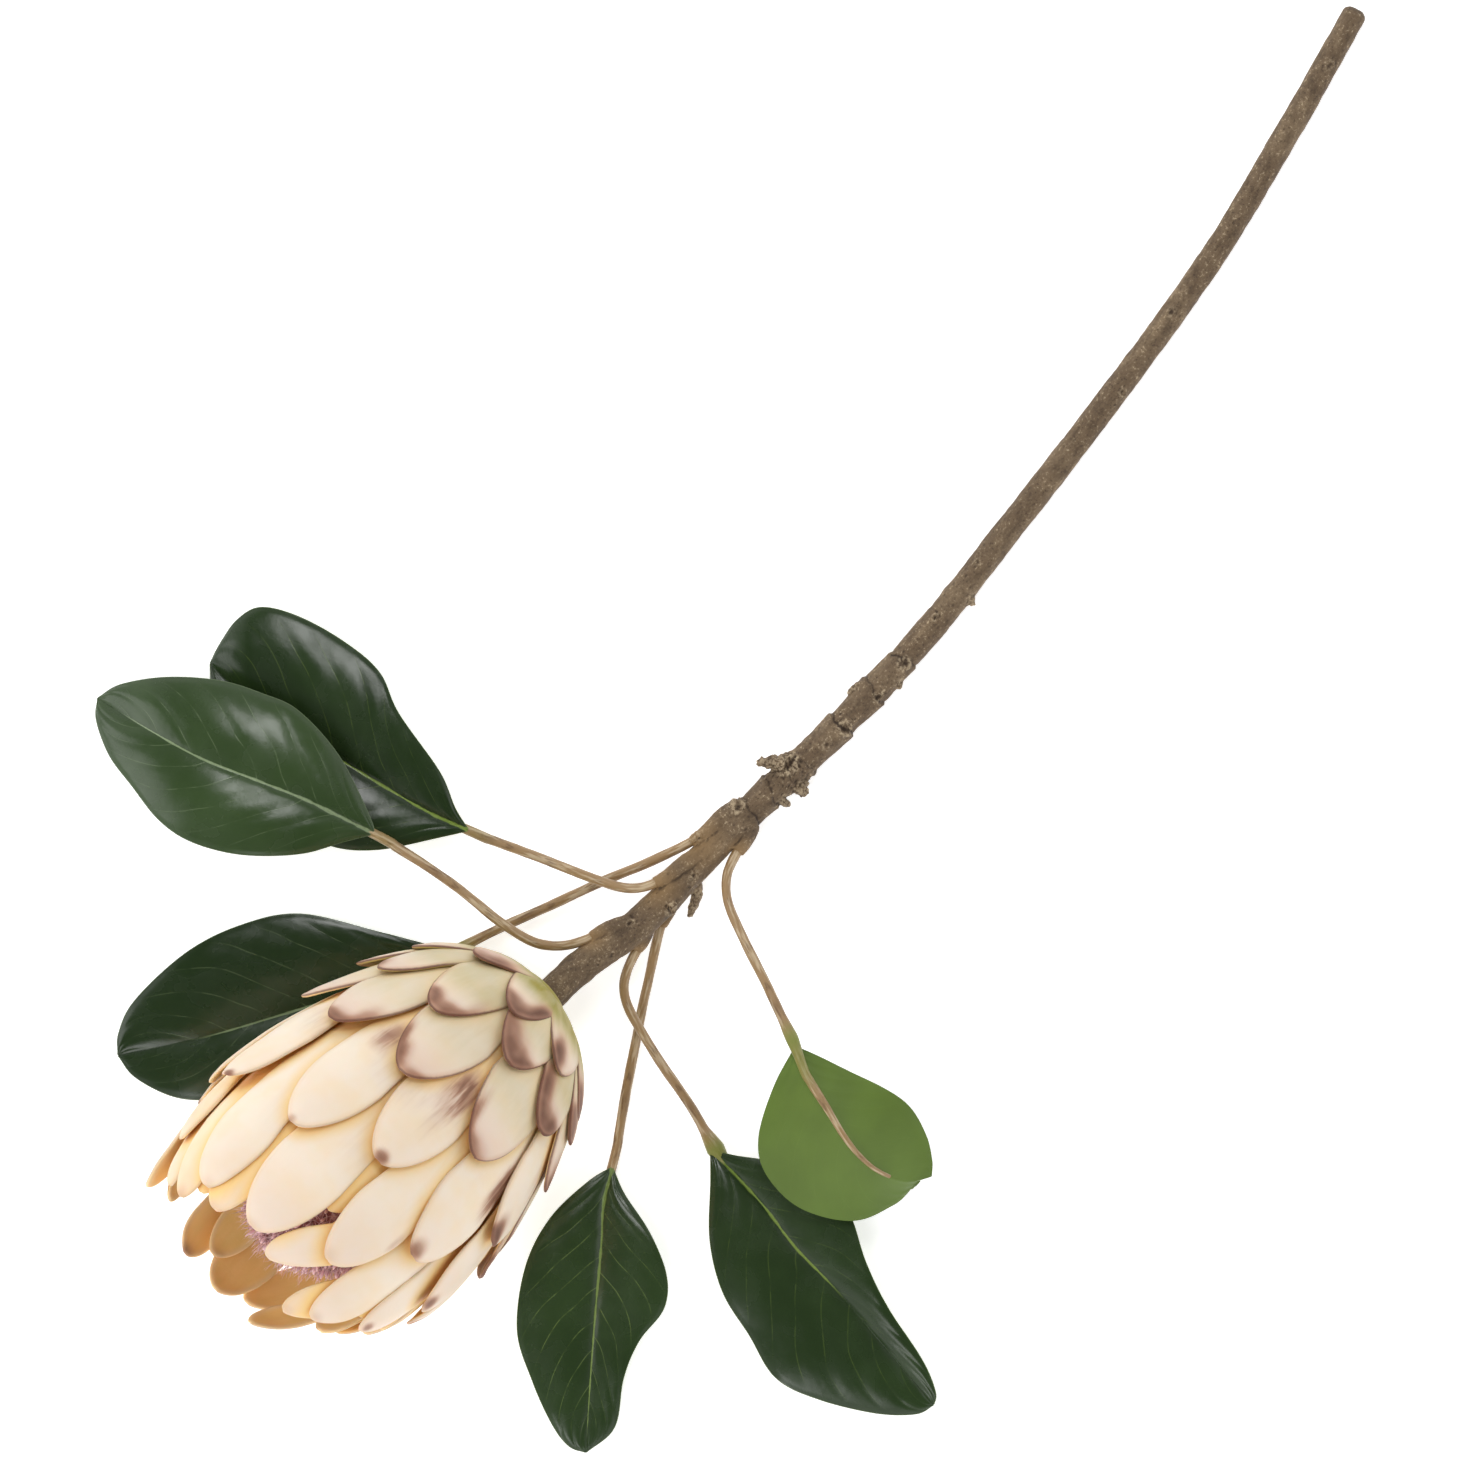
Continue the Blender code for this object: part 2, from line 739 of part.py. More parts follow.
def bract_half_width(distance, width, length):
    rounded = min(width * ROUNDED_END, 0.8 * length)
    near = np.clip(distance / rounded, 0, 1)
    end = (1 - (1 - near) ** 1.9) ** 0.56
    waist = 1 - WAIST * np.clip((distance - rounded) / (length - rounded), 0, 1)
    return width / 2 * end * waist


def bract_grid(ring_number, place, rows, columns):
    """Points of one bract in the head's own frame, from foot to tip and from side to side."""
    ring = RINGS[ring_number]
    turn, rise, flare = ODD_BRACTS.get((ring_number, place), (0.0, 0.0, 0.0))
    azimuth = math.radians(ring["turn"] + turn + 360.0 / BRACTS_IN_RING * place)
    distance, height, radius = bract_middle(ring, ring["tip"] + rise, ring["flare"] + flare)
    length = distance[-1]
    rounded = min(ring["width"] * ROUNDED_END, 0.8 * length)
    end_rows = rounded * np.array((0.05, 0.32, 1.0))
    body_rows = np.linspace(rounded, length, rows - 2)[1:]
    outwards = np.array((math.sin(azimuth), -math.cos(azimuth), 0.0))
    aside = np.array((math.cos(azimuth), math.sin(azimuth), 0.0))
    grid = []
    for row in (*body_rows[::-1], *end_rows[::-1]):
        half = bract_half_width(row, ring["width"], length)
        points = []
        for u in np.linspace(-1, 1, columns):
            back = row if row > end_rows[0] else row * u * u
            h, r = np.interp(back, distance, height), np.interp(back, distance, radius)
            bend = CURL * np.interp(row, distance, radius)
            angle = u * half / bend
            out = r - bend * (1 - math.cos(angle))
            point = outwards * out + aside * bend * math.sin(angle)
            points.append(point + np.array((0.0, 0.0, h)))
        grid.append(points)
    return np.array(grid)


def turned(name, profile, sides):
    """A closed solid turned about the head's axis, from a profile of height and radius."""
    bm = bmesh.new()
    verts = [bm.verts.new((r * MM, 0.0, h * MM)) for h, r in profile]
    edges = [bm.edges.new(pair) for pair in zip(verts, verts[1:])]
    bmesh.ops.spin(
        bm,
        geom=verts + edges,
        cent=(0.0, 0.0, 0.0),
        axis=(0.0, 0.0, 1.0),
        angle=2 * math.pi,
        steps=sides,
        use_merge=True,
    )
    bmesh.ops.remove_doubles(bm, verts=bm.verts, dist=1e-6)
    return bm


def build_bloom():
    """The receptacle with seven rings of bracts, flat where it rests and bored for the stem."""
    bloom = object_of("bloom", turned("bloom", CORE, CORE_SIDES))
    bracts = []
    for ring_number in range(len(RINGS)):
        for place in range(BRACTS_IN_RING):
            grid = bract_grid(ring_number, place, RINGS[ring_number]["rows"], BRACT_COLUMNS)
            bracts.append(thin_sheet(f"bract_{ring_number}_{place}", grid, BRACT_THICKNESS, -1.0))
    combine(bloom, bracts, "UNION", "MANIFOLD")
    fill_hollows(bloom)
    bloom.matrix_world = head_matrix()
    bored = stem_line()[:2]
    inwards = np.array(head_directions()[2])
    bored[0, :3] += GAP * inwards
    bored[1, :3] -= 12.0 * inwards
    bored[:, 3] = STEM_RADII[0] + GAP
    combine(bloom, [round_bar("stem_socket", bored, 4), floor_block()], "DIFFERENCE", "MANIFOLD")
    return bloom


def floor_block():
    bm = bmesh.new()
    side = FLOOR_BLOCK * MM
    centre = Matrix.Translation((STEM_BASE[0] * MM, STEM_BASE[1] * MM, -side / 2))
    bmesh.ops.create_cube(bm, size=side, matrix=centre)
    return object_of("floor_block", bm)


def build_flower_mass():
    """The dome of florets: each cell of the dome is raised to a blunt point."""
    bm = turned("flower_mass", DOME, DOME_COLUMNS)
    bmesh.ops.recalc_face_normals(bm, faces=bm.faces)
    tip = DOME_TIP_CELLS * MM
    cells = [f for f in bm.faces if len(f.verts) == 4 or f.calc_center_median().z > tip]
    bmesh.ops.poke(bm, faces=cells, offset=FLORET_HEIGHT * MM)
    dome = object_of("flower_mass", bm)
    dome.matrix_world = head_matrix()
    return dome


def main():
    clear_scene()
    bark = material("bark", (0.20, 0.145, 0.10), 0.85)
    stalk_brown = material("stalk", (0.30, 0.19, 0.10), 0.7)
    leaf_green = material("leaf_upper", (0.018, 0.055, 0.022), 0.35)
    leaf_pale = material("leaf_lower", (0.14, 0.24, 0.05), 0.55)
    cream = material("bract", (0.82, 0.70, 0.52), 0.6)
    mauve = material("florets", (0.48, 0.26, 0.32), 0.9)
    finish(build_stem(), bark)
    for number in LEAVES:
        finish(round_bar(f"petiole_{number}", stalk_line(number), 2), stalk_brown)
        finish(build_leaf(number), leaf_pale if number == 6 else leaf_green)
    finish(build_bloom(), cream)
    finish(build_flower_mass(), mauve)


main()
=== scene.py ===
"""Finished looks of a cut protea stem that lies on a pale table.

Lengths in the tables are in millimetres, and the meshes are in metres with +Z up. The stem runs along +X
from the flower head to its cut end. The head has a frame of its own: its axis runs from the stem to the
mouth, and azimuth 0 is the side that faces up.
"""

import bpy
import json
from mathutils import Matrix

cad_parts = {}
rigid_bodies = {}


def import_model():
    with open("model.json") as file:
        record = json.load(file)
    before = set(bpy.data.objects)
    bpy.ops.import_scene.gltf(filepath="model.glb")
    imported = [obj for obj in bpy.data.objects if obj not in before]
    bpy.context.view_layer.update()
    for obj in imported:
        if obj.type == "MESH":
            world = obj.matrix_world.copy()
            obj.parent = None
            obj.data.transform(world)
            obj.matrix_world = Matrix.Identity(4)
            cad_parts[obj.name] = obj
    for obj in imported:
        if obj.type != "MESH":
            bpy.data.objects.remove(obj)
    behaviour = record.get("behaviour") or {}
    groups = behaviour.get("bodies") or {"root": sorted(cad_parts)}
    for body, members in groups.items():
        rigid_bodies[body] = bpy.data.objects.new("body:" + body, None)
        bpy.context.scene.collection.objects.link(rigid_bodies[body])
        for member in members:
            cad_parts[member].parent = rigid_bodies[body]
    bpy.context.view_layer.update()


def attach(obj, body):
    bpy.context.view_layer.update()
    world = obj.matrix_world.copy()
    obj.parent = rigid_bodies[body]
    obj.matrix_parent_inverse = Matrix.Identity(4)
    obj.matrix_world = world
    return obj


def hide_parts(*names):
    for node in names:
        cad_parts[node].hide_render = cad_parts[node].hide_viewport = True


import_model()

import json
import math

import bpy
import numpy as np
from bpy.props import FloatProperty, FloatVectorProperty, IntProperty, PointerProperty
from bpy.types import Operator, Panel, PropertyGroup
from mathutils import Matrix, Vector, noise

bl_info = {
    "name": "Cut Protea Stem",
    "version": (1, 0, 0),
    "blender": (4, 5, 0),
    "location": "3D View > Sidebar > Protea",
    "description": "Models a cut protea: barked stem, stalked glossy leaves and a head of cream bracts",
    "category": "Add Mesh",
}

MM = 0.001

# Stem: points along its middle with the radius, from inside the flower head to the cut end.
STEM_BASE = (-165.0, 4.0, 33.4)
STEM_ROUTE = (
    (*STEM_BASE, 6.5), (-145, 2, 26.6, 6.5), (-121, -4, 19.4, 6.5), (-90, -6, 13.6, 6.2),
    (-61, -8, 10.4, 6.1), (-23, -12, 8, 5.8), (8, -14, 6.6, 5.7), (43, -15, 6, 5.5), (88, -13, 5.8, 5.4),
    (154, -9.5, 5.5, 5.2), (224, -3.5, 5.3, 5), (290, 8, 5.2, 5), (335, 17, 5.1, 4.7),
)
STEM_TENON = 7.5  # how far the stem reaches on into the head
CUT_END_ROUNDING = 3.0
CUT_END_STAIN = 2.5  # length of the darker end
CHUNK = 4000  # points compared with a line at a time
FAR_AWAY = 99.0  # distance given to points on the far side of a pit
# Ring scars: distance along the stem from the flower, height of the step, how far the swelling below it
# reaches, how far the ring leans along the stem as it goes round, and how strong its crack is, in depth and
# in painted shade.
RING_SCARS = (
    (107, 0.9, 8, 2.5, 0.7), (121.5, 0.8, 5, -2.5, 0.6), (137.5, 0.9, 6, 2, 0.8), (159.5, 1.1, 9, 1.6, 1),
    (178, 0.9, 8, 2.2, 0.7), (194.5, 1.1, 8, -1.6, 1), (215.5, 0.5, 8, 1.5, 0.5), (229, 0.3, 6, 1, 0.2),
    (300, 0.3, 9, -1, 0.25), (392, 0.35, 9, 1, 0.3), (455, 0.25, 8, -1, 0.2),
)
SCAR_EDGE = 0.7  # length of a scar's steep side
CRACK_OFFSET, CRACK_WIDTH = 0.9, 0.6  # the crack behind it, painted dark as shade
# Pits with crumbled rims: distance along the stem, how far off its top line, radius and depth.
PITS = (
    (194, 1.2, 1.7, 0.9), (159.4, 1.8, 1.9, 1), (177.3, 2.7, 1.2, 0.7), (133.6, -3, 2.6, 1.2),
    (215.6, -1.5, 1, 0.6), (108, -4.5, 1.8, 1), (150, 1.5, 1.2, 0.4), (76, 2, 1.3, 0.5),
    (60, 4.5, 1.5, 0.7), (44, -2.5, 1.2, 0.4), (243, -2, 1.1, 0.3), (330, 2.5, 1.2, 0.4),
    (367, -1, 1.3, 0.4), (482, 1, 1.4, 0.4),
)
# Broken stubs, buds and torn flakes: x, y, z and radius of each point.
STUBS = (
    ((-35.5, -6, 11.5, 3.2), (-37.5, -3.5, 13.2, 2.6), (-40, -0.5, 13.4, 1.9), (-42.5, 1.8, 13.2, 1.3)),
    ((-92, -9, 10, 2.4), (-96, -13.5, 7.5, 2.3), (-101, -15.5, 5.5, 2), (-105, -17.2, 4.5, 1.2)),
    ((-37.5, -14, 9.5, 3), (-38.5, -17.5, 8.8, 2.7), (-39.5, -19.5, 8.2, 1.8)),
    ((-46, -12, 10, 2.8), (-47, -15.5, 9.6, 2.4), (-47.5, -17.5, 8.8, 1.6)),
    ((62.5, -16, 7.5, 2), (61.5, -18.8, 7.2, 1.9), (59.5, -21, 6.3, 1.4)),
    ((19, -16.5, 8, 1.8), (18, -18.6, 7.8, 1.7), (16, -20.8, 6.8, 1.3)),
    ((7.5, -9.5, 9, 1.2), (5, -8.3, 8.8, 1.1), (2, -7.2, 8.2, 0.7)),
    ((-76, -0.5, 16.5, 1.6), (-79.5, 1.6, 17.2, 1.6), (-82.5, 2, 17, 1.1)),
    ((-104, -7.5, 21, 1.4), (-106.5, -9.5, 22.5, 1.2), (-107.5, -11.5, 22.6, 0.8)),
    ((-57.5, -4, 14.5, 1.8), (-60.5, -2.8, 15.2, 1.4), (-62.5, -1.5, 15.3, 0.9)),
)
# A knotty stretch, and the stretch over which the bark grows smooth: distance along the stem, and length.
KNOT, KNOT_LENGTH = 131.0, 9.0
SMOOTH_FROM, SMOOTHING_LENGTH = 230.0, 60.0

# Leaf stalks: length of the bark sheath, how green and how swollen the stalk's end is, and the route from
# inside the stem to the foot of the blade.
STALK_RADIUS = 1.9
RIB_TIP_RADIUS = 0.7
RIB_START = 0.12  # where the rib sets in, as a share of its length on the blade
SHEATH_RADII = (3.6, 3.4, 2.3)
SHEATH_POINTS = 14
STALK_IN_SHEATH = 7.0  # how far a stalk starts inside its sheath
SWELLING_LENGTH = 6.0
GREEN_REACH = 11.0  # how far the green reaches to both sides of the blade's foot
GREEN_ON_BLADE, GREEN_FADE = 26.0, 14.0  # how far the turned leaf's rib is green, and over what it fades
STALKS = {
    1: dict(
        sheath=17.0, green=0.2, swelling=0.1,
        route=(
            (-122, -1, 22.5), (-130, 4, 25.5), (-139, 8, 26.5), (-147, 14, 25.5), (-152.5, 23, 24),
            (-155, 38, 22.5), (-156, 62, 20), (-160, 93, 18.6),
        ),
    ),
    2: dict(
        sheath=24.0, green=0.2, swelling=0.1,
        route=(
            (-82, -5, 14.5), (-92, -2, 18.5), (-101, 0.5, 20.5), (-108, 4, 21), (-113.5, 10, 20.5),
            (-118, 20, 18.5), (-126, 42, 12.5), (-135, 66, 6.6),
        ),
    ),
    3: dict(
        sheath=30.0, green=0.8, swelling=0.2,
        route=(
            (-54, -7, 10.5), (-66, -2.5, 14), (-76, -0.5, 15), (-84, 2, 14), (-99, 8.5, 12.5),
            (-118, 18, 10.5), (-138, 27, 8.5), (-155, 35, 7), (-169, 41, 4.7),
        ),
    ),
    4: dict(
        sheath=15.0, green=0.0, swelling=0.0,
        route=(
            (-102, -5, 14), (-109, -9, 12), (-116, -11.5, 10), (-123, -15, 8.5), (-134, -21, 7),
            (-146, -27.5, 6.3), (-159, -35, 6), (-178, -46, 5.6), (-195, -56.5, 5.6),
        ),
    ),
    5: dict(
        sheath=14.0, green=1.0, swelling=1.4,
        route=(
            (-116, -5, 19), (-123, -9, 18.5), (-130, -10.5, 18), (-137, -12.5, 17.5), (-143, -16, 17),
            (-147.5, -22, 16), (-151, -31, 15), (-156, -47, 13), (-161, -66, 11), (-166, -80, 9.8),
        ),
    ),
    6: dict(
        sheath=15.0, green=1.0, swelling=0.5,
        route=(
            (-60, -10, 10.5), (-69, -14, 12), (-77, -15.5, 14), (-84.5, -18.5, 17.5), (-91, -25, 21.5),
            (-97, -37, 26.5), (-104, -54, 33), (-111, -70, 38), (-115.5, -80, 40.8),
        ),
    ),
}

# Leaf blades: how far the bar of the rib runs underneath, how light the blade is (its own tone, and on leaf 1
# a painted sheen), how far the pale rib line shows on top, how bright and how yellow it is, how bright the
# side veins are, how much each half bulges, and the strength and number of the margin's waves. Then the
# middle line and both edges, from foot to tip, with left and right as seen along the leaf from its foot.
BLADE_THICKNESS = 0.8
TURNED_LEAF = 6
LEAVES = {
    1: dict(
        rib=0.72, lightness=0.65, line_reach=0.92, line=0.8, line_tint=0.25, veins=0.2, bulge=2.6,
        waves=(0.5, 2.5),
        middle=(
            (-161, 97, 21), (-165, 113, 24), (-169, 128, 25), (-176, 148, 25), (-183, 168, 23),
            (-188, 191, 16), (-192, 214.5, 4),
        ),
        left=(
            (-171, 104, 23), (-186, 114, 26), (-201, 131, 27), (-210, 149, 25), (-212, 164, 21),
            (-209, 181, 16), (-206, 196, 11), (-199, 209, 6),
        ),
        right=(
            (-157, 103, 21), (-147, 127, 20.5), (-144, 151, 20), (-148, 166, 19.5), (-155, 182, 18),
            (-168, 199, 14), (-182, 211, 8),
        ),
    ),
    2: dict(
        rib=0.6, lightness=0.05, line_reach=0.62, line=1.0, line_tint=1.0, veins=0.15, bulge=3.0,
        waves=(1, 2),
        middle=(
            (-136, 70, 9), (-141, 87, 9.5), (-145, 108, 9), (-151, 144, 7.5), (-154, 168, 6),
            (-153, 190, 3),
        ),
        left=(
            (-147, 78, 10), (-165, 92, 11), (-176, 107, 10), (-181, 127, 9), (-179, 149, 8), (-170, 173, 6),
        ),
        right=(
            (-133, 80, 11), (-126, 94, 12), (-119, 121, 12), (-112, 137, 11), (-112, 155, 9),
            (-116, 175, 7), (-123, 189, 5), (-133, 193, 4), (-145, 192, 3),
        ),
    ),
    3: dict(
        rib=0.55, lightness=-0.3, line_reach=0.8, line=0.5, line_tint=0.4, veins=0.14, bulge=2.4,
        waves=(0.6, 2),
        middle=(
            (-172, 42, 7), (-189, 50, 6.2), (-215, 64, 6), (-241, 80, 6), (-267, 97, 5.5), (-293, 117, 2.5),
        ),
        left=(
            (-183, 40.5, 6), (-200, 43.5, 5), (-224, 49.5, 4.5), (-250, 58, 4.5), (-272, 69, 4.5),
            (-289, 86, 4), (-295, 105, 3),
        ),
        right=(
            (-178, 49, 8), (-189, 71, 9), (-204, 99, 9), (-223, 114, 8), (-245, 123, 7), (-272, 126, 5),
            (-286, 122.5, 3.5),
        ),
    ),
    4: dict(
        rib=0.6, lightness=0.3, line_reach=0.98, line=0.75, line_tint=0.85, veins=0.32, bulge=2.0,
        waves=(0.8, 2.5),
        middle=(
            (-199, -58.5, 8), (-212, -65, 9.5), (-225, -75, 10), (-243, -88, 9.5), (-262, -102, 8),
            (-278, -114, 5), (-291, -124, 2),
        ),
        left=(
            (-204, -69, 10), (-209, -87, 13), (-217, -102, 13), (-228, -110, 12), (-244, -111, 10),
            (-259, -116, 8), (-276, -126, 4),
        ),
        right=(
            (-209, -55, 10), (-230, -53, 12), (-251, -58, 13), (-272, -72, 11), (-283, -89, 8),
            (-291, -106, 5), (-293.5, -117, 3),
        ),
    ),
    5: dict(
        rib=0.55, lightness=0.2, line_reach=0.6, line=0.85, line_tint=1.0, veins=0.13, bulge=2.6,
        waves=(0.9, 2.5),
        middle=(
            (-169, -83, 12), (-170, -97, 13), (-172, -114, 13.5), (-176, -133, 13), (-178, -155, 12),
            (-181, -175, 10), (-185, -199, 6), (-187.5, -215, 3),
        ),
        left=(
            (-164, -92, 14), (-156, -105, 16), (-150, -123, 17), (-152, -140, 17), (-162, -158, 17),
            (-171, -178, 15), (-177, -200, 9), (-183, -212, 5),
        ),
        right=(
            (-178, -91, 14), (-196, -106, 15), (-208, -123, 14), (-214, -142, 12), (-220, -161, 9),
            (-215, -180, 6), (-205, -200, 4), (-195, -212, 3),
        ),
    ),
    6: dict(
        rib=0.78, lightness=0.0, line_reach=0.0, line=0.0, line_tint=1.0, veins=0.15, bulge=-1.6,
        waves=(0.6, 2),
        middle=(
            (-116, -81, 39), (-121, -90, 42), (-125.5, -104, 45), (-131, -122, 44), (-132, -136, 39),
            (-128, -148, 31), (-120, -155, 24),
        ),
        left=(
            (-111, -98, 38), (-106, -118, 35), (-105, -131, 32), (-109, -143, 28), (-115, -151, 25),
        ),
        right=(
            (-133, -85, 37), (-153, -94, 33), (-162, -106, 28), (-163, -124, 24), (-153, -143, 21),
            (-139, -151, 21), (-131, -152.5, 22), (-125.5, -152, 23),
        ),
    ),
}
SIDE_VEINS = 9.0  # pairs of side veins on a blade
VEIN_SLANT = 0.30  # how far a side vein runs towards the tip, as a share of the blade
DENSE_SHARE = 0.3  # share of the columns that lie close together over the rib
DENSE_WIDTH = 0.21  # share of the half blade that they cover
WHOLE_BULGE = 35.0  # half width at which a blade bulges as far as its leaf says
GROOVE_WIDTH = 1.3
THIN_EDGE, EDGE_SHARE = 2.5, 0.35  # width of the thinner edge, and how thin it gets

# Flower head: heading and tilt of its axis, and the outer shape as height along it and radius.
HEAD_HEADING = math.radians(173.2)
HEAD_TILT = math.radians(20.0)
HEAD_OFFSET = 3.0
ENVELOPE = (
    (0, 8), (6, 24), (12, 33), (19, 40), (29, 46.5), (39, 51), (58, 57), (77, 61), (97, 63), (116, 63),
    (136, 60), (155, 53.5), (166, 47), (176, 40),
)
RECEPTACLE = (
    (0.4, 0), (0.4, 12), (2, 15), (6, 20.5), (14, 25), (30, 28), (60, 29), (97, 29), (100, 27), (100, 0),
)
GREEN_FOOT = 16.0  # height up to which the receptacle is green
BRACTS_IN_RING = 10
SHINGLE = 0.09  # how deep a bract sinks under the outer shape with each millimetre below its tip
TIP_REACH = 8.0  # length over which a tip bends outwards
CURL = 0.82  # radius across a bract, as a share of the head's radius there
ROUNDED_END = 1.05  # length of a bract's rounded end, as a share of its width
WAIST = 0.64  # how much of its width a bract loses towards its foot
TIP_SPREAD = 1.4  # how much closer a bract's columns lie at its edges, in radians
THIN_RIM, RIM_SHARE = 1.5, 0.12  # width of the thinner rim, and how thin it gets
LOWEST = 0.75  # bracts are pressed flat here, so that none sinks into the surface
UNCOVERED = 40.0  # distance given to points that no bract covers
COVER_REACH = 0.6  # bracts further round the head than this don't cover each other, in radians
# Each ring from the outside in: azimuth of its first bract, height of its tips, width of its bracts, depth
# under the outer shape, height of the foot, how far the tips bend outwards, the length of a bract that
# shows, and its colouring: dark rim, blush and faint flush at the tip, spot at the tip, green foot, yellow
# beside the bracts that cover it (partly painted glow), how olive rather than orange the painted shade in its
# deep gaps is, and streaks.
RING_FACTS = "turn tip width depth foot flare shows rim blush flush spot green yellow olive streaks".split()
RINGS = [
    dict(zip(RING_FACTS, row))
    for row in (
        (3, 31, 27, 0, 1.5, 1, 30, 1, 1, 0.5, 0, 1, 0.6, 1, 0.3),
        (-11, 52, 28.5, 0, 3, 1, 26, 1, 1, 0.6, 0, 0.5, 0.6, 0.9, 0),
        (13, 84.5, 32.5, 0, 5, 0.8, 34, 0.85, 0.45, 0.8, 0, 0.3, 0.5, 0.25, 0.2),
        (-5, 127, 31, 0, 8, 0.4, 44, 0.25, 0, 0.2, 1, 0, 0.9, 0, 1),
        (12.5, 166, 27.5, 0, 12, 0, 44, 0.12, 0.04, 0.4, 0, 0, 0.9, 0, 0.5),
        (-7, 170, 24, 2.4, 16, 0, 40, 0.12, 0.04, 0.4, 0, 0, 0.92, 0, 0.3),
        (13, 166, 22, 4.8, 20, 0, 30, 0.15, 0.05, 0.4, 0, 0, 1, 0, 0.2),
    )
]
# Bracts that grew out of step, as (ring, place in ring): (turn in degrees, change of tip height, flare).
ODD_BRACTS = {
    (0, 1): (1, -10, 0.5),
    (1, 0): (0, -4, 0), (1, 1): (0, 3, 0), (1, 3): (-10, -3, 1.5), (1, 8): (14, -12, 1), (1, 9): (4, 1, 0),
    (2, 2): (-6, -7, 0.8), (2, 8): (-15, -25, 1), (2, 9): (-3, 0, 0),
    (3, 0): (1, -10.5, 0), (3, 1): (-4.5, 2, 0), (3, 2): (-1, 0, 2.5), (3, 3): (10, 0, 0),
    (3, 7): (18, -31, 1.5), (3, 8): (13, -33, 1),
    (4, 0): (-1.5, 0, 0), (4, 1): (-5, -1, 0), (4, 2): (17, -45, 0.5), (4, 3): (-8, 0, 5.5),
    (4, 5): (0, -7, 0), (4, 6): (0, -22, 0), (4, 7): (0, -36, -2), (4, 8): (-12, -36, 0.5),
    (4, 9): (2, -12, 0),
    (5, 0): (3, -1.5, 0), (5, 1): (5, -1, 0), (5, 2): (-5, 1, 0), (5, 3): (-18, -19, 0),
    (5, 4): (0, -24, 0), (5, 5): (6, -3.5, 0), (5, 6): (-5.5, -4, 0.5), (5, 7): (0, -30, 0),
    (5, 8): (12, -16, 0), (5, 9): (-3, -2, 0),
    (6, 0): (-18, -25, 0), (6, 3): (0, -4, 0), (6, 4): (9, -9, 0), (6, 5): (2, -34, 0), (6, 6): (0, -16, 0),
    (6, 7): (0, -26, 0), (6, 8): (0, -14, 0), (6, 9): (-14, 8, 0),
}
# Bracts wider or narrower than the rest of their ring: share of the ring's width.
OWN_WIDTHS = {
    (0, 0): 0.88, (4, 0): 1.16, (4, 3): 0.8, (4, 4): 0.62, (4, 5): 0.72, (5, 0): 0.8, (5, 6): 0.62,
    (6, 4): 0.8, (6, 5): 0.7, (6, 9): 0.9,
}
# Bracts yellower all over than the rest of their ring.
YELLOWER = {(5, 1): 1.0, (5, 2): 1.0, (5, 3): 1.0}
# Bracts that lean sideways: degrees for each millimetre below the tip, as far as LEAN_REACH.
LEANING = {(4, 5): 0.4, (5, 0): -0.62, (5, 6): 0.5, (6, 9): -0.4}
LEAN_REACH = 28.0
# Soft mauve-brown blots on bracts: middle across and down from the tip, half width, half length, strength.
BLOTS = {
    (0, 0): ((2, 4.5, 10, 6.5, 1), (-8.2, 11.6, 5, 10, 0.95)),
    (0, 1): ((-2.1, 5.7, 9, 14, 0.7),),
    (0, 2): ((7.5, 5.7, 8, 10, 0.8),),
    (0, 7): ((3, 6, 8, 10, 0.9),),
    (0, 8): ((3, 6, 8, 12, 0.95),),
    (0, 9): ((3.5, 8, 4.5, 9, 0.95),),
    (1, 0): ((4, 7.6, 8.5, 10, 1), (-5, 4.5, 9, 6, 0.85), (9, 16, 5, 10, 0.75)),
    (1, 1): ((5.5, 6, 5, 5.5, 1), (-3.7, 5, 6, 5, 0.75), (-9.6, 13.3, 3, 10, 0.4)),
    (1, 2): ((6.9, 4.6, 6, 7, 0.65),),
    (1, 3): ((1.9, 4.6, 5, 7, 0.6),),
    (1, 7): ((3, 6, 8, 10, 0.9),),
    (1, 8): ((4.3, 6, 7, 10, 1),),
    (1, 9): ((0, 6, 9, 7.5, 1), (8.5, 13, 5.5, 15, 0.95)),
    (2, 0): ((7.5, 5.2, 5, 8, 0.85), (-6.1, 2.5, 9, 3.5, 0.55), (12.5, 13, 3, 9, 0.8)),
    (2, 1): ((1, 2, 9, 5, 0.85), (-9, 8, 4, 10, 0.5)),
    (2, 2): ((5.9, 6.9, 5, 8, 0.7),),
    (2, 7): ((3.5, 2.6, 6, 10, 1),),
    (2, 8): ((-2.8, 8.7, 8, 12, 0.95),),
    (2, 9): ((4, 2, 9, 6, 0.7), (11, 9, 3, 15, 0.75)),
    (3, 0): ((0, 2.6, 3.2, 3.2, 0.75),),
    (3, 1): ((1.6, 1.5, 2.2, 2.2, 0.45),),
    (3, 2): ((-2.1, 1.5, 2.5, 2.5, 0.7),),
    (3, 7): ((-3.4, 3.6, 5, 9, 1), (5, 4, 6, 9, 1)),
    (3, 8): ((2.6, 3.6, 5, 9, 1),),
    (3, 9): ((1.8, 3.6, 3.8, 5, 0.75),),
    (4, 0): ((0, 1.4, 4, 3, 0.2),),
    (4, 1): ((-1.3, 2.2, 3, 3, 0.2),),
    (4, 4): ((0, 1.5, 4, 4, 0.5),),
    (4, 7): ((0, 4.4, 4, 4, 0.8),),
    (4, 8): ((1.9, 4.4, 4, 4, 0.8),),
    (4, 9): ((1.9, 2.2, 4, 4, 0.2),),
    (5, 1): ((-0.4, 1.2, 5, 3, 0.2),),
    (5, 2): ((0, 1.9, 4, 4, 0.28),),
    (5, 8): ((0, 3.9, 3, 2.5, 0.8),),
    (5, 9): ((-0.7, 2.8, 3.5, 2.5, 0.25),),
    (6, 4): ((2, 2, 5, 3, 0.3),),
    (6, 9): ((0, 2, 4, 3, 0.2),),
}
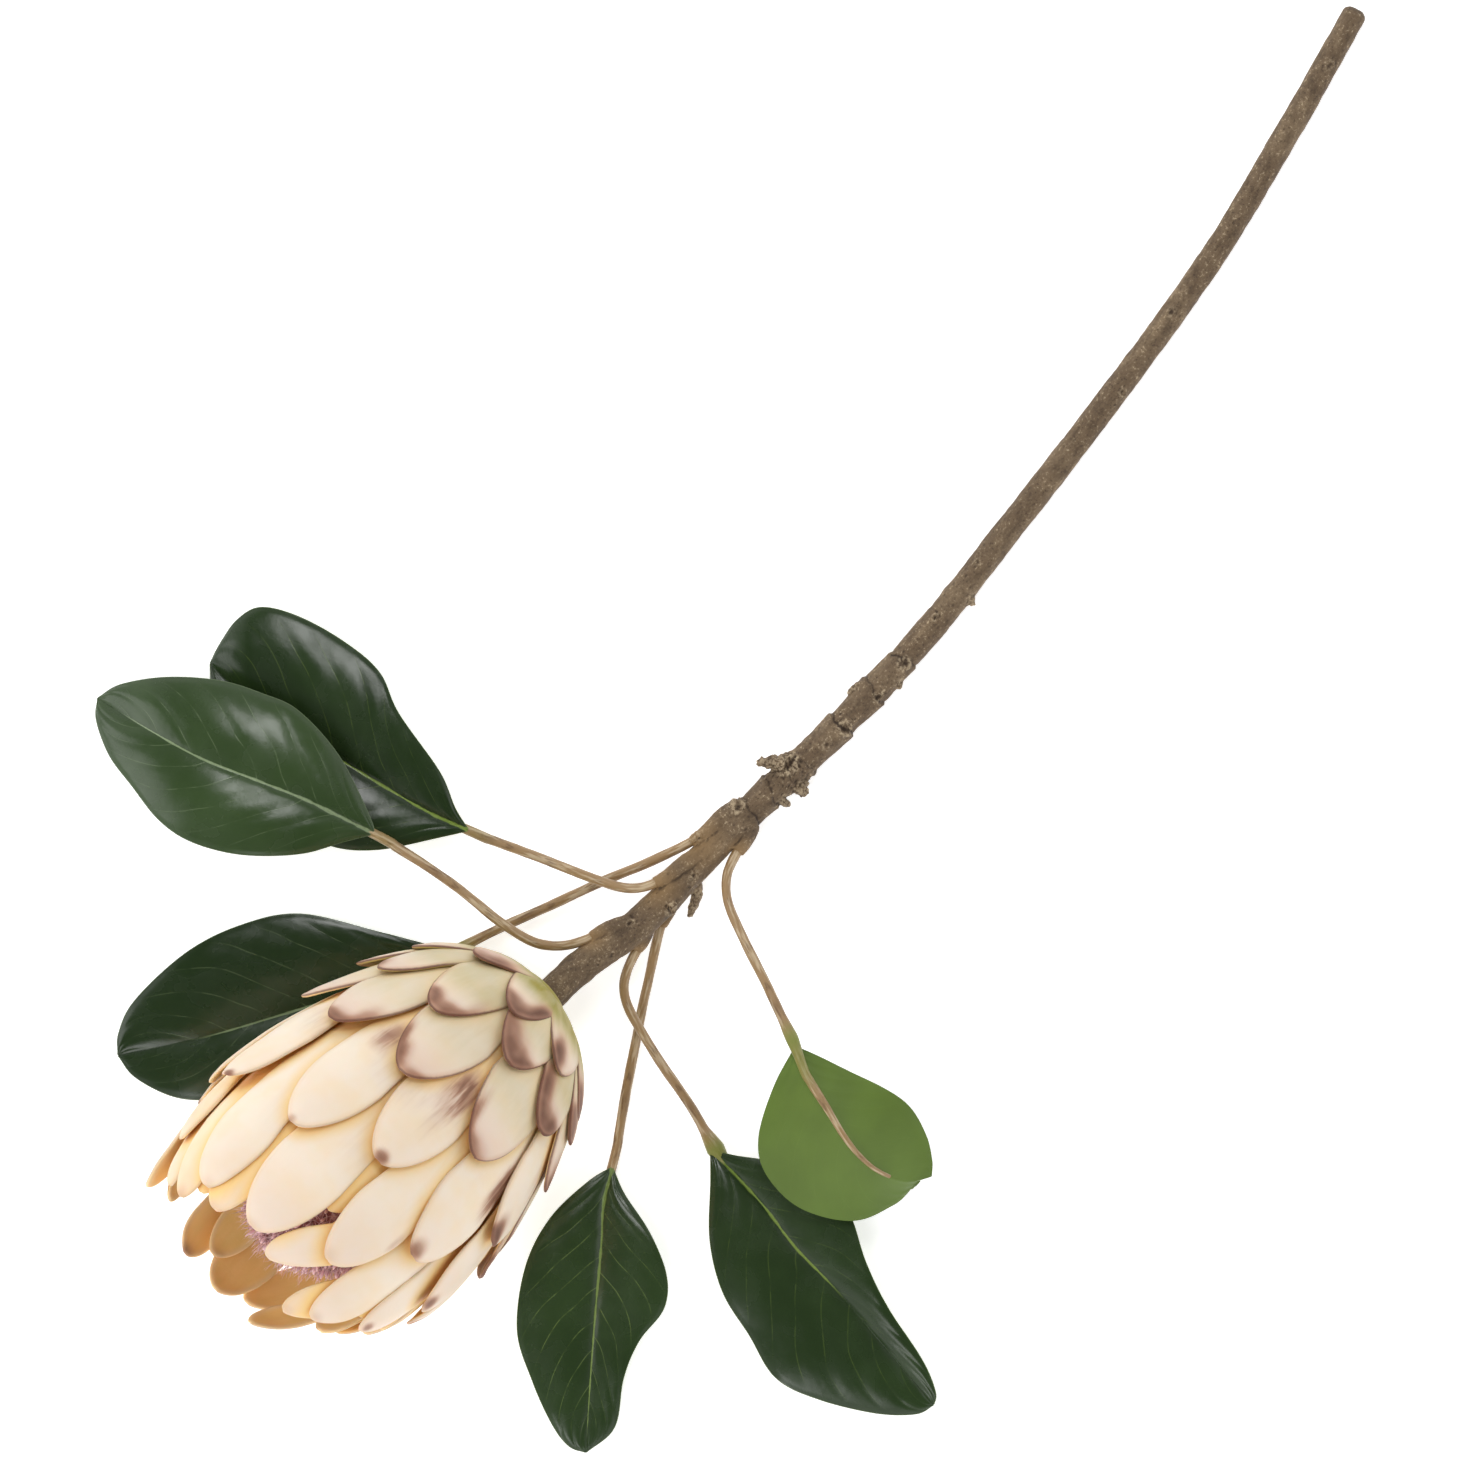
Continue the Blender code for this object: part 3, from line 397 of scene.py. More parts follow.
# Patches of lengthwise streaks on bracts, given like the blots.
STREAKS = {
    (3, 0): ((-3.9, 47, 7, 12, 0.85), (-4.3, 34, 6, 14, 0.35)),
    (3, 1): ((1.9, 55, 6, 9, 0.65),),
    (3, 9): ((-10.5, 49, 6, 14, 1),),
    (4, 9): ((-12.5, 26.4, 3, 6, 0.5),),
    (5, 9): ((-9.7, 46, 4, 6, 0.45),),
}

# Dome of florets: height along the head's axis and radius.
DOME = (
    (100.3, 26), (105, 30), (112, 33), (119, 33), (127, 30.5), (134.5, 26), (141, 19.5), (145.5, 12),
    (148.5, 5), (149.5, 0),
)

# Florets and the hairs between them: shortest and longest, thinnest and thickest, how deep a floret is set.
FLORET_LENGTHS, FLORET_RADII, FLORET_ROOT = (4.0, 7.5), (0.55, 0.8), 1.5
HAIR_LENGTHS, HAIR_RADIUS = (3.5, 8.0), 0.11
GOLDEN_ANGLE = math.pi * (3 - math.sqrt(5))

# Lights: heading and height in degrees, size in metres, and whether it gives highlights.
LIGHTS = {
    "high": (42, 64, 0.85, True),
    "low": (-150, 40, 0.85, True),
    "left": (130, 30, 1.6, True),
    "right": (-50, 34, 1.6, True),
    "overhead": (166, 62, 1.6, False),
}
# Camera: straight above the stem, turned so that the stem runs up to the right.
CAMERA_PLACE = (-0.0395, 0.0185, 5.0)
CAMERA_TURN = math.radians(-49.2)
CAMERA_LENS = 314.2
SENSOR = 36.0


def paint(red, green, blue):
    """A linear colour from the 0 to 255 values that a paint chart gives."""
    shares = np.array((red, green, blue)) / 255
    low, high = shares / 12.92, ((shares + 0.055) / 1.055) ** 2.4
    return tuple(float(c) for c in np.where(shares <= 0.04045, low, high))


def colour_property(name, description, *rgb):
    limits = dict(subtype="COLOR", size=3, min=0.0, max=1.0)
    return FloatVectorProperty(name=name, description=description, default=paint(*rgb), **limits)


def size_property(name, description, default, least=0.0):
    return FloatProperty(name=name, description=description, default=default, min=least, unit="LENGTH")


def number_property(name, description, default):
    return FloatProperty(name=name, description=description, default=default, min=0.0)


def count_property(name, description, default, least):
    return IntProperty(name=name, description=description, default=default, min=least)


class StemSettings(PropertyGroup):
    """Sizes and colours of the barked stem and the leaf stalks."""

    grain: size_property("Grain", "Size of the bark mesh's cells", 0.52 * MM, 0.3 * MM)
    bark_depth: size_property("Bark depth", "Depth of the bark's furrows", 0.22 * MM)
    bark: colour_property("Bark", "Main colour of the bark", 104, 86, 66)
    bark_pale: colour_property("Pale bark", "Worn and dry patches", 140, 120, 94)
    # Dark bark also paints the shade in cracks, pits and hollows.
    bark_dark: colour_property("Dark bark", "Cracks, pits and ring scars", 56, 43, 32)
    stalk: colour_property("Stalk", "Colour of the leaf stalks", 150, 121, 83)
    stalk_dark: colour_property("Dark stalk", "Mottling of the leaf stalks", 94, 66, 41)
    stalk_pale: colour_property("Pale stalk", "Worn highlights of the leaf stalks", 202, 183, 152)
    stalk_green: colour_property("Green stalk", "Where a stalk meets its blade", 118, 124, 48)


class LeafSettings(PropertyGroup):
    """Sizes and colours of the leaf blades."""

    rows: count_property("Rows", "Points along a blade", 130, 12)
    columns: count_property("Columns", "Points across a blade", 57, 7)
    groove: size_property("Rib groove", "Depth of the groove over the rib", 0.35 * MM)
    quilting: size_property("Quilting", "How much the blade swells between side veins", 0.2 * MM)
    upper: colour_property("Upper side", "Deep green of the glossy upper side", 29, 45, 20)
    upper_light: colour_property("Upper side, light", "Lighter green in patches", 54, 73, 40)
    under: colour_property("Underside", "Pale green of the dull underside", 92, 116, 40)
    line: colour_property("Rib line", "Yellow-green line over the rib", 128, 150, 70)
    line_grey: colour_property("Worn rib line", "Grey-green where the line is rubbed", 140, 156, 128)


class BractSettings(PropertyGroup):
    """Sizes and colours of the bracts."""

    tip_rows: count_property("Tip rows", "Points along a bract's rounded end", 18, 4)
    body_rows: count_property("Body rows", "Points along the rest of a bract", 18, 4)
    columns: count_property("Columns", "Points across a bract", 21, 5)
    thickness: size_property("Thickness", "Thickness of a bract's middle", 1.6 * MM, 0.3 * MM)
    cream: colour_property("Cream", "Main colour of the bracts", 232, 217, 198)
    pink: colour_property("Pink", "Faint flush towards the tips", 208, 180, 165)
    # Yellow is partly a painted glow; olive and orange are painted shade under covering bracts, partly their
    # own colour.
    yellow: colour_property("Yellow", "Warm tint beside covering bracts", 234, 194, 110)
    olive: colour_property("Olive", "Deep tint between the outermost bracts", 118, 108, 40)
    orange: colour_property("Orange", "Deep tint under covering bracts", 204, 138, 70)
    green: colour_property("Green", "Foot of the outermost bracts", 148, 138, 54)
    blush: colour_property("Blush", "Mauve-brown of tips and streaks", 100, 62, 44)
    blush_pale: colour_property("Pale blush", "Where the blush fades out", 174, 128, 102)
    rim: colour_property("Rim", "Dark line round the outer rings", 96, 60, 46)
    inside: colour_property("Inside", "Orange-tan inner faces", 255, 215, 142)


class FloretSettings(PropertyGroup):
    """Number and colours of the florets."""

    count: count_property("Florets", "Slender florets on the dome", 620, 10)
    hairs: count_property("Hairs", "Fine curled hairs among the florets", 5200, 0)
    mauve: colour_property("Mauve", "Main colour of the florets", 206, 150, 156)
    pale: colour_property("Pale tips", "Fuzzy tips", 234, 200, 202)
    deep: colour_property("Deep", "Shaded feet of the florets", 112, 52, 50)


class StageSettings(PropertyGroup):
    """Floor and studio light."""

    floor_size: size_property("Floor", "Side of the floor", 14.0, 1.0)
    floor: colour_property("Floor colour", "Plain pale floor", 246, 246, 246)
    floor_glow: number_property("Floor glow", "Light from under the floor", 0.6)
    light_distance: size_property("Light distance", "From the origin", 2.8)
    high: number_property("High light", "Soft light high over the leaves", 18.5)
    low: number_property("Low light", "Soft light towards the mouth", 9.5)
    overhead: number_property("Overhead", "Even light that gives no highlights", 20.0)
    left: number_property("Left light", "Large soft light on the head's left", 15.0)
    right: number_property("Right light", "Large soft light on its right", 4.0)
    walls: number_property("Walls", "Brightness of the white walls around", 1.1)
    ceiling: number_property("Ceiling", "Brightness of the dim ceiling", 0.1)


def smooth_line(points, steps):
    """A smooth curve through the points, with this many steps between neighbours."""
    p = np.array(points, float)
    p = np.vstack([2 * p[0] - p[1], p, 2 * p[-1] - p[-2]])
    t = np.linspace(0, 1, steps, endpoint=False)[:, None]
    spans = []
    for a, b, c, d in zip(p, p[1:], p[2:], p[3:]):
        bend = 2 * a - 5 * b + 4 * c - d
        twist = 3 * b - a - 3 * c + d
        spans.append(0.5 * (2 * b + (c - a) * t + bend * t**2 + twist * t**3))
    return np.vstack(spans + [p[-2:-1]])


def run_of(line):
    """Distance along a line at each of its points."""
    steps = np.linalg.norm(np.diff(line[:, :3], axis=0), axis=1)
    return np.concatenate([[0.0], np.cumsum(steps)])


def at_run(line, distances):
    """The points of a line at these distances from its start."""
    run = run_of(line)
    return np.array([np.interp(distances, run, column) for column in line.T]).T


def eased(value):
    """0 below 0 and 1 above 1, with a soft start and end."""
    value = np.clip(value, 0, 1)
    return value * value * (3 - 2 * value)


def grain_at(points, scale, octaves=4):
    """Fractal noise at points in millimetres, with features about 1 / scale long."""
    return np.array([noise.fractal(Vector(p), 1.0, 2.0, octaves) for p in points * scale])


def unit(vectors):
    return vectors / np.maximum(np.linalg.norm(vectors, axis=-1, keepdims=True), 1e-12)


def surface_normals(grid):
    """Normals of a grid of points, to the side from which its columns run left to right."""
    along = np.gradient(grid, axis=0)
    across = np.gradient(grid, axis=1)
    return unit(np.cross(across, along))


def select_only(*pieces):
    for obj in bpy.context.view_layer.objects:
        obj.select_set(obj in pieces)
    bpy.context.view_layer.objects.active = pieces[0]


def apply_modifiers(piece):
    select_only(piece)
    for modifier in list(piece.modifiers):
        bpy.ops.object.modifier_apply(modifier=modifier.name)


def move_points(piece, points):
    """Moves a piece's points to these places, in millimetres."""
    piece.data.vertices.foreach_set("co", (points * MM).ravel())
    piece.data.update()


def vectors_of(items, field):
    values = np.empty(len(items) * 3, np.float32)
    items.foreach_get(field, values)
    return values.reshape(-1, 3).astype(float)


def points_of(piece):
    """A piece's points, in millimetres."""
    return vectors_of(piece.data.vertices, "co") / MM


def normals_of(piece):
    return vectors_of(piece.data.vertex_normals, "vector")


def new_piece(name, data):
    bpy.ops.object.select_all(action="DESELECT")
    piece = bpy.data.objects.new(name, data)
    bpy.context.scene.collection.objects.link(piece)
    select_only(piece)
    return piece


def sheet(name, grid):
    """A sheet of faces through a grid of points in millimetres, from a flat grid."""
    rows, columns = grid.shape[:2]
    bpy.ops.object.select_all(action="DESELECT")
    bpy.ops.mesh.primitive_grid_add(x_subdivisions=columns - 1, y_subdivisions=rows - 1)
    piece = bpy.context.active_object
    piece.name = piece.data.name = name
    move_points(piece, grid)
    return piece


def thicken(piece, thickness, share):
    """Gives a sheet its thickness, thinner where share is small, with the sheet in the middle."""
    group = piece.vertex_groups.new(name="thickness")
    for index, value in enumerate(share.ravel()):
        group.add([index], float(value), "REPLACE")
    wall = piece.modifiers.new("Wall", "SOLIDIFY")
    wall.thickness = thickness * MM
    wall.offset = 0.0
    wall.vertex_group = group.name
    apply_modifiers(piece)
    piece.vertex_groups.clear()


def note(piece, **facts):
    """Stores facts for the finish, each as one number or as a value for each point of the piece."""
    for name, values in facts.items():
        values = np.asarray(values, float)
        if not values.ndim:
            values = np.full(len(piece.data.vertices), float(values))
        kind, field = ("FLOAT_VECTOR", "vector") if values.ndim == 2 else ("FLOAT", "value")
        layer = piece.data.attributes.new(name, kind, "POINT")
        layer.data.foreach_set(field, values.astype(np.float32).ravel())


def note_on_sheet(piece, **facts):
    """Stores facts given for a sheet's grid: they hold for both of its faces."""
    for name, values in facts.items():
        if np.ndim(values):
            values = np.concatenate([values.reshape(-1, *values.shape[2:])] * 2)
        note(piece, **{name: values})


def second_face(piece):
    """1 at each point of a thickened sheet's second face, which its normals point away from."""
    count = len(piece.data.vertices)
    return (np.arange(count) >= count // 2).astype(float)


def tube(name, line, sides):
    """A closed round bar along a line of x, y, z and radius, in millimetres."""
    curve = bpy.data.curves.new(name, "CURVE")
    curve.dimensions = "3D"
    curve.bevel_depth = MM
    curve.bevel_resolution = max(sides // 2 - 2, 0)
    curve.use_fill_caps = True
    spline = curve.splines.new("POLY")
    spline.points.add(len(line) - 1)
    for point, (x, y, z, radius) in zip(spline.points, line):
        point.co = (x * MM, y * MM, z * MM, 1.0)
        point.radius = radius
    new_piece(name, curve)
    bpy.ops.object.convert(target="MESH")
    return bpy.context.active_object


def join(name, pieces):
    select_only(*pieces)
    bpy.ops.object.join()
    whole = bpy.context.active_object
    whole.name = whole.data.name = name
    return whole


def place(piece, material, slot, *nodes):
    """Finishes a piece: smooth, in its material, on the part's body, instead of the plain solids."""
    select_only(piece)
    bpy.ops.object.transform_apply(location=True, rotation=True, scale=True)
    bpy.ops.object.shade_smooth()
    piece.data.materials.clear()
    piece.data.materials.append(material)
    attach(piece, "root")
    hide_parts(*nodes)


class Nodes:
    """A node tree in the making: each call adds a node and gives back its output."""

    def __init__(self, owner):
        owner.use_nodes = True
        self.tree = owner.node_tree

    def node(self, kind, output, inputs=(), **settings):
        node = self.tree.nodes.new("ShaderNode" + kind)
        for name, value in settings.items():
            setattr(node, name, value)
        for name, value in dict(inputs).items():
            self.give(node.inputs[name], value)
        return node.outputs[output]

    def give(self, socket, value):
        if isinstance(value, bpy.types.NodeSocket):
            self.tree.links.new(value, socket)
        elif socket.type == "RGBA" and len(value) == 3:
            socket.default_value = (*value, 1.0)
        else:
            socket.default_value = value

    def value(self, name):
        return self.node("Attribute", "Fac", attribute_name=name)

    def vector(self, name):
        return self.node("Attribute", "Vector", attribute_name=name)

    def stretched(self, vector, stretch):
        return self.node("Mapping", "Vector", {"Vector": vector, "Scale": stretch}) if stretch else vector

    def noise(self, vector, scale, detail=3.0, roughness=0.55, stretch=None):
        inputs = {"Scale": scale, "Detail": detail, "Roughness": roughness}
        return self.node("TexNoise", "Fac", {"Vector": self.stretched(vector, stretch), **inputs})

    def cells(self, vector, scale, stretch=None):
        inputs = {"Vector": self.stretched(vector, stretch), "Scale": scale}
        return self.node("TexVoronoi", "Distance", inputs)

    def sum(self, operation, a, b):
        return self.node("Math", 0, {0: a, 1: b}, operation=operation)

    def times(self, a, b):
        return self.sum("MULTIPLY", a, b)

    def plus(self, a, b):
        return self.sum("ADD", a, b)

    def minus(self, a, b):
        return self.sum("SUBTRACT", a, b)

    def larger(self, a, b):
        return self.sum("MAXIMUM", a, b)

    def band(self, value, low, high, start=0.0, end=1.0):
        """start where the value is low, end where it is high, and eased between them."""
        inputs = {"Value": value, "From Min": low, "From Max": high, "To Min": start, "To Max": end}
        return self.node("MapRange", "Result", inputs, interpolation_type="SMOOTHSTEP")

    def mix(self, share, a, b):
        return self.node("MixRGB", "Color", {"Fac": share, "Color1": a, "Color2": b})

    def coats(self, colour, *coats):
        """A colour under coats of (share, colour), the last on top."""
        for share, coat in coats:
            colour = self.mix(share, colour, coat)
        return colour


class Finish(Nodes):
    """A material in the making."""

    def __init__(self, name, **values):
        self.material = bpy.data.materials.new(name)
        super().__init__(self.material)
        self.inputs = self.tree.nodes["Principled BSDF"].inputs
        for socket, value in values.items():
            self.give(self.inputs[socket.replace("_", " ")], value)

    def finish(self, colour, height, bump, roughness):
        """The material with this colour, these bumps of so many metres and this roughness."""
        self.give(self.inputs["Base Color"], colour)
        self.give(self.inputs["Roughness"], roughness)
        normal = self.node("Bump", "Normal", {"Height": height, "Distance": bump, "Strength": 1.0})
        self.give(self.inputs["Normal"], normal)
        return self.material


def bark_finish(settings):
    make = Finish("bark", Specular_IOR_Level=0.3)
    skin = make.vector("straight")
    fibres = make.noise(skin, 420.0, 4.0, 0.6, (1.0, 1.0, 0.3))
    grains = make.noise(skin, 950.0, 4.0, 0.7)
    mottle = make.noise(skin, 260.0, 5.0, 0.62, (1.0, 1.0, 0.6))
    patches = make.noise(skin, 62.0, stretch=(1.0, 1.0, 0.6))
    # Small pits, sunk in the bump and painted darker as shade.
    pits = make.cells(skin, 300.0, (1.0, 1.0, 0.7))
    pit_share = make.times(make.band(pits, 0.08, 0.2, 1.0, 0.0), make.band(mottle, 0.44, 0.56))
    pale = make.plus(make.band(patches, 0.42, 0.72, 0.0, 0.45), make.band(mottle, 0.5, 0.72, 0.0, 0.5))
    dark = make.plus(make.band(mottle, 0.5, 0.32, 0.0, 0.4), make.band(fibres, 0.5, 0.34, 0.0, 0.15))
    flecks = make.times(make.band(grains, 0.55, 0.66), make.band(mottle, 0.42, 0.6, 0.15, 0.6))
    crumbs = make.times(make.value("crumbs"), make.band(grains, 0.42, 0.56))
    colour = make.coats(
        settings.bark,
        (pale, settings.bark_pale),
        (dark, settings.bark_dark),
        (flecks, settings.stalk_pale),
        (make.band(grains, 0.45, 0.34, 0.0, 0.65), settings.bark_dark),
        (make.times(pit_share, 0.6), settings.bark_dark),
        (make.value("sheath"), settings.stalk),
        (crumbs, settings.stalk_pale),
        # Painted shade in the cracks, pits and hollows, and the stained cut end.
        (make.value("crack"), settings.bark_dark),
    )
    height = make.plus(make.times(mottle, 0.9), make.times(grains, 0.4))
    height = make.minus(height, make.times(pit_share, 0.6))
    return make.finish(colour, height, 0.0006, make.band(grains, 0.3, 0.7, 0.62, 0.85))


def stalk_finish(settings):
    make = Finish("stalk", Specular_IOR_Level=0.5)
    skin = make.vector("straight")
    fibres = make.noise(skin, 900.0, stretch=(1.0, 1.0, 0.1))
    mottle = make.noise(skin, 330.0, 5.0, 0.65, (1.0, 1.0, 0.35))
    patches = make.noise(skin, 90.0, 2.0, stretch=(1.0, 1.0, 0.5))
    colour = make.coats(
        settings.stalk,
        (make.band(mottle, 0.5, 0.7, 0.0, 0.8), settings.stalk_dark),
        (make.band(patches, 0.5, 0.68, 0.0, 0.35), settings.stalk_dark),
        # Pale streaks along the fibres: partly the stalks' own pale fibres, partly painted highlights.
        (make.band(fibres, 0.5, 0.66, 0.0, 0.65), settings.stalk_pale),
        (make.value("green"), settings.stalk_green),
    )
    height = make.plus(make.times(fibres, 0.5), mottle)
    return make.finish(colour, height, 0.0004, make.band(mottle, 0.3, 0.7, 0.32, 0.5))


def leaf_finish(settings):
    make = Finish("leaf", Specular_IOR_Level=0.42)
    straight = make.vector("straight")
    patches = make.noise(straight, 30.0)
    broken = make.noise(straight, 170.0, 2.0)
    clouds = make.noise(straight, 95.0, 3.0, 0.5)
    wrinkles = make.noise(make.vector("slanted"), 75.0, 2.0, 0.4, (1.0, 0.45, 1.0))
    pale_side = make.value("pale_side")
    wander = make.times(make.minus(make.noise(straight, 45.0, 1.0), 0.5), 0.5)
    from_vein = make.sum("PINGPONG", make.plus(make.value("vein_phase"), wander), 0.5)
    vein = make.times(make.band(from_vein, 0.008, 0.032, 1.0, 0.0), make.value("vein_strength"))
    vein = make.times(vein, make.band(broken, 0.38, 0.6, 0.15, 1.0))
    line_width = make.times(make.value("line_width"), make.band(broken, 0.2, 0.8, 0.6, 1.4))
    from_line = make.sum("DIVIDE", make.value("from_mid"), make.larger(line_width, 0.01))
    line = make.times(make.band(from_line, 0.5, 1.15, 1.0, 0.0), make.value("line_strength"))
    line_colour = make.mix(make.value("line_tint"), settings.line_grey, settings.line)
    upper = make.coats(
        settings.upper,
        # Lighter green in patches, and each leaf's own lightness, which on leaf 1 is a painted sheen.
        (make.plus(make.band(patches, 0.35, 0.75, 0.0, 0.35), make.value("lightness")), settings.upper_light),
        (vein, line_colour),
        (line, line_colour),
        (make.band(make.value("from_edge"), 0.0, 0.45, 0.3, 0.0), line_colour),
    )
    under = make.coats(
        settings.under,
        (make.band(patches, 0.3, 0.75, 0.0, 0.45), tuple(0.6 * c for c in settings.under)),
        (make.times(vein, 0.5), line_colour),
    )
    waves = make.plus(make.times(wrinkles, 0.5), make.times(clouds, 0.35))
    height = make.minus(waves, make.times(vein, 0.15))
    roughness = make.larger(make.band(clouds, 0.35, 0.65, 0.2, 0.3), make.times(pale_side, 0.6))
    return make.finish(make.mix(pale_side, upper, under), height, 0.0005, roughness)


def bract_finish(settings):
    make = Finish("bract", Specular_IOR_Level=0.35, Subsurface_Weight=0.12, Subsurface_Scale=0.003)
    straight = make.vector("straight")
    fibres = make.noise(straight, 520.0, 4.0, stretch=(1.0, 0.05, 1.0))
    brushed = make.noise(straight, 210.0, stretch=(1.0, 0.2, 1.0))
    soft = make.noise(straight, 70.0, 2.0)
    fine = make.noise(straight, 500.0)
    edge, cover, warm = [make.value(name) for name in ("from_edge", "from_cover", "yellow")]
    flush, olive, rim = [make.value(name) for name in ("flush", "olive", "rim")]
    all_over = make.plus(make.band(soft, 0.35, 0.75, 0.0, 0.2), make.band(warm, 0.9, 1.0, 0.0, 0.3))
    green = make.times(make.value("green"), make.band(brushed, 0.3, 0.65, 0.8, 1.0))
    ragged_cover = make.plus(cover, make.times(make.minus(soft, 0.5), 6.0))
    not_olive = make.minus(1.0, make.times(olive, 0.7))
    # Yellow beside covering bracts and along the edges: partly the bracts' own yellow, partly a painted glow
    # of light shining through them.
    glow = make.times(make.band(ragged_cover, -1.0, 6.5, 0.8, 0.0), make.times(warm, not_olive))
    glow = make.larger(glow, make.times(make.band(edge, 0.3, 2.6, 0.2, 0.0), warm))
    # Painted shade in the gaps under covering bracts, orange, and olive among the outermost rings; partly
    # their own colour.
    deep = make.times(make.band(cover, -3.0, 1.4, 0.65, 0.0), warm)
    streaks = make.times(make.value("streaks"), make.band(brushed, 0.3, 0.6, 0.5, 1.0))
    streaks = make.times(streaks, make.band(fibres, 0.35, 0.6, 0.7, 1.0))
    blush = make.times(make.value("blush"), make.band(soft, 0.3, 0.7, 0.8, 1.05))
    blushed = make.larger(blush, streaks)
    ragged = make.plus(edge, make.times(make.minus(fine, 0.5), 0.5))
    outside = make.coats(
        settings.cream,
        (all_over, settings.yellow),
        (make.times(flush, 0.8), settings.pink),
        (green, settings.green),
        (glow, settings.yellow),
        (deep, make.mix(olive, settings.orange, settings.olive)),
        (make.band(blushed, 0.0, 0.75, 0.0, 0.95), settings.blush_pale),
        (make.band(blushed, 0.35, 1.05), settings.blush),
        (make.times(make.band(ragged, 0.4, 3.0, 0.4, 0.0), rim), settings.blush_pale),
        (make.times(make.band(ragged, 0.15, 0.95, 0.85, 0.0), rim), settings.rim),
    )
    inside = make.coats(
        settings.inside,
        (make.band(brushed, 0.35, 0.7, 0.0, 0.25), settings.yellow),
        (make.band(flush, 0.0, 0.4, 0.1, 0.0), settings.orange),
        (make.band(edge, 0.0, 3.0, 0.3, 0.0), settings.cream),
        (make.times(olive, 0.85), settings.green),
        (make.band(blush, 0.0, 0.75, 0.0, 0.8), settings.blush_pale),
        (make.band(blush, 0.35, 1.05, 0.0, 0.8), settings.blush),
    )
    colour = make.mix(make.band(make.value("back"), 0.8, 1.0), outside, inside)
    height = make.plus(make.times(fibres, 0.5), make.times(fine, 0.3))
    return make.finish(colour, height, 0.00016, make.band(soft, 0.3, 0.7, 0.46, 0.58))


def floret_finish(settings):
    make = Finish("florets", Specular_IOR_Level=0.3, Sheen_Weight=0.4, Sheen_Roughness=0.5)
    along = make.value("along")
    mottle = make.noise(make.node("TexCoord", "Object"), 260.0)
    colour = make.coats(
        settings.deep,
        (make.band(along, 0.1, 0.7), settings.mauve),
        (make.band(along, 0.65, 1.0, 0.0, 0.8), settings.pale),
        (make.band(mottle, 0.45, 0.7, 0.0, 0.45), settings.pale),
    )
    return make.finish(colour, mottle, 0.0004, 0.8)


def floor_finish(settings):
    look = dict(Base_Color=settings.floor, Specular_IOR_Level=0.0, Roughness=1.0)
    glow = dict(Emission_Color=settings.floor, Emission_Strength=settings.floor_glow)
    return Finish("floor", **look, **glow).material


def studio_walls(settings):
    """White walls all round and a dim ceiling, so that glossy leaves stay dark from above."""
    world = bpy.data.worlds.new("studio")
    make = Nodes(world)
    upwards = make.node("SeparateXYZ", "Z", {"Vector": make.node("TexCoord", "Generated")})
    background = make.tree.nodes["Background"].inputs
    make.give(background["Color"], (1.0, 1.0, 1.0))
    make.give(background["Strength"], make.band(upwards, 0.4, 0.85, settings.walls, settings.ceiling))
    return world


def stem_line():
    """Middle line of the stem with its radius, from the tenon in the head to the rounded cut end."""
    line = smooth_line(STEM_ROUTE, 8)
    length = run_of(line)[-1]
    rounding = length - CUT_END_ROUNDING * np.array((1.0, 0.75, 0.5, 0.3, 0.15, 0.05, 0.0))
    line = at_run(line, np.concatenate([np.arange(0.0, length - CUT_END_ROUNDING - 1, 1.5), rounding]))
    run = run_of(line)
    end = np.clip((run - (length - CUT_END_ROUNDING)) / CUT_END_ROUNDING, 0, 1)
    line[:, 3] *= np.sqrt(1 - 0.75 * end**2)
    tenon = line[0].copy()
    tenon[:3] += STEM_TENON * np.array(head_directions()[2])
    return np.vstack([tenon, line])


def head_directions():
    """Sideways, downwards and forwards directions of the flower head."""
    cos_h, sin_h = math.cos(HEAD_HEADING), math.sin(HEAD_HEADING)
    cos_t, sin_t = math.cos(HEAD_TILT), math.sin(HEAD_TILT)
    sideways = (sin_h, -cos_h, 0.0)
    downwards = (sin_t * cos_h, sin_t * sin_h, -cos_t)
    forwards = (cos_t * cos_h, cos_t * sin_h, sin_t)
    return sideways, downwards, forwards


def head_matrix():
    sideways, downwards, forwards = head_directions()
    origin = [(STEM_BASE[i] + HEAD_OFFSET * sideways[i]) * MM for i in range(3)]
    turned = Matrix((sideways, downwards, forwards)).transposed().to_4x4()
    return Matrix.Translation(origin) @ turned


def straighten(points, line):
    """Position of each point relative to a bent bar: across it in two directions, and along it."""
    run = run_of(line)
    ahead = unit(np.gradient(line[:, :3], axis=0))
    beside = unit(np.cross(ahead, (0.0, 0.0, 1.0)))
    above = np.cross(beside, ahead)
    nearest = np.empty(len(points), int)
    for start in range(0, len(points), CHUNK):
        block = points[start : start + CHUNK]
        gaps = ((block[:, None] - line[None, :, :3]) ** 2).sum(axis=2)
        nearest[start : start + CHUNK] = gaps.argmin(axis=1)
    offset = points - line[nearest, :3]
    lengthwise = (offset * ahead[nearest]).sum(axis=1)
    x = (offset * beside[nearest]).sum(axis=1)
    y = (offset * above[nearest]).sum(axis=1)
    return np.column_stack([x, y, run[nearest] + lengthwise])


def stalk_route(number):
    return smooth_line(STALKS[number]["route"], 6)


def sheath_line(number):
    stalk = STALKS[number]
    line = at_run(stalk_route(number), np.linspace(0.0, stalk["sheath"], SHEATH_POINTS))
    radius = np.interp(np.linspace(0, 1, SHEATH_POINTS), (0, 0.5, 1), SHEATH_RADII)
    return np.column_stack([line, radius])


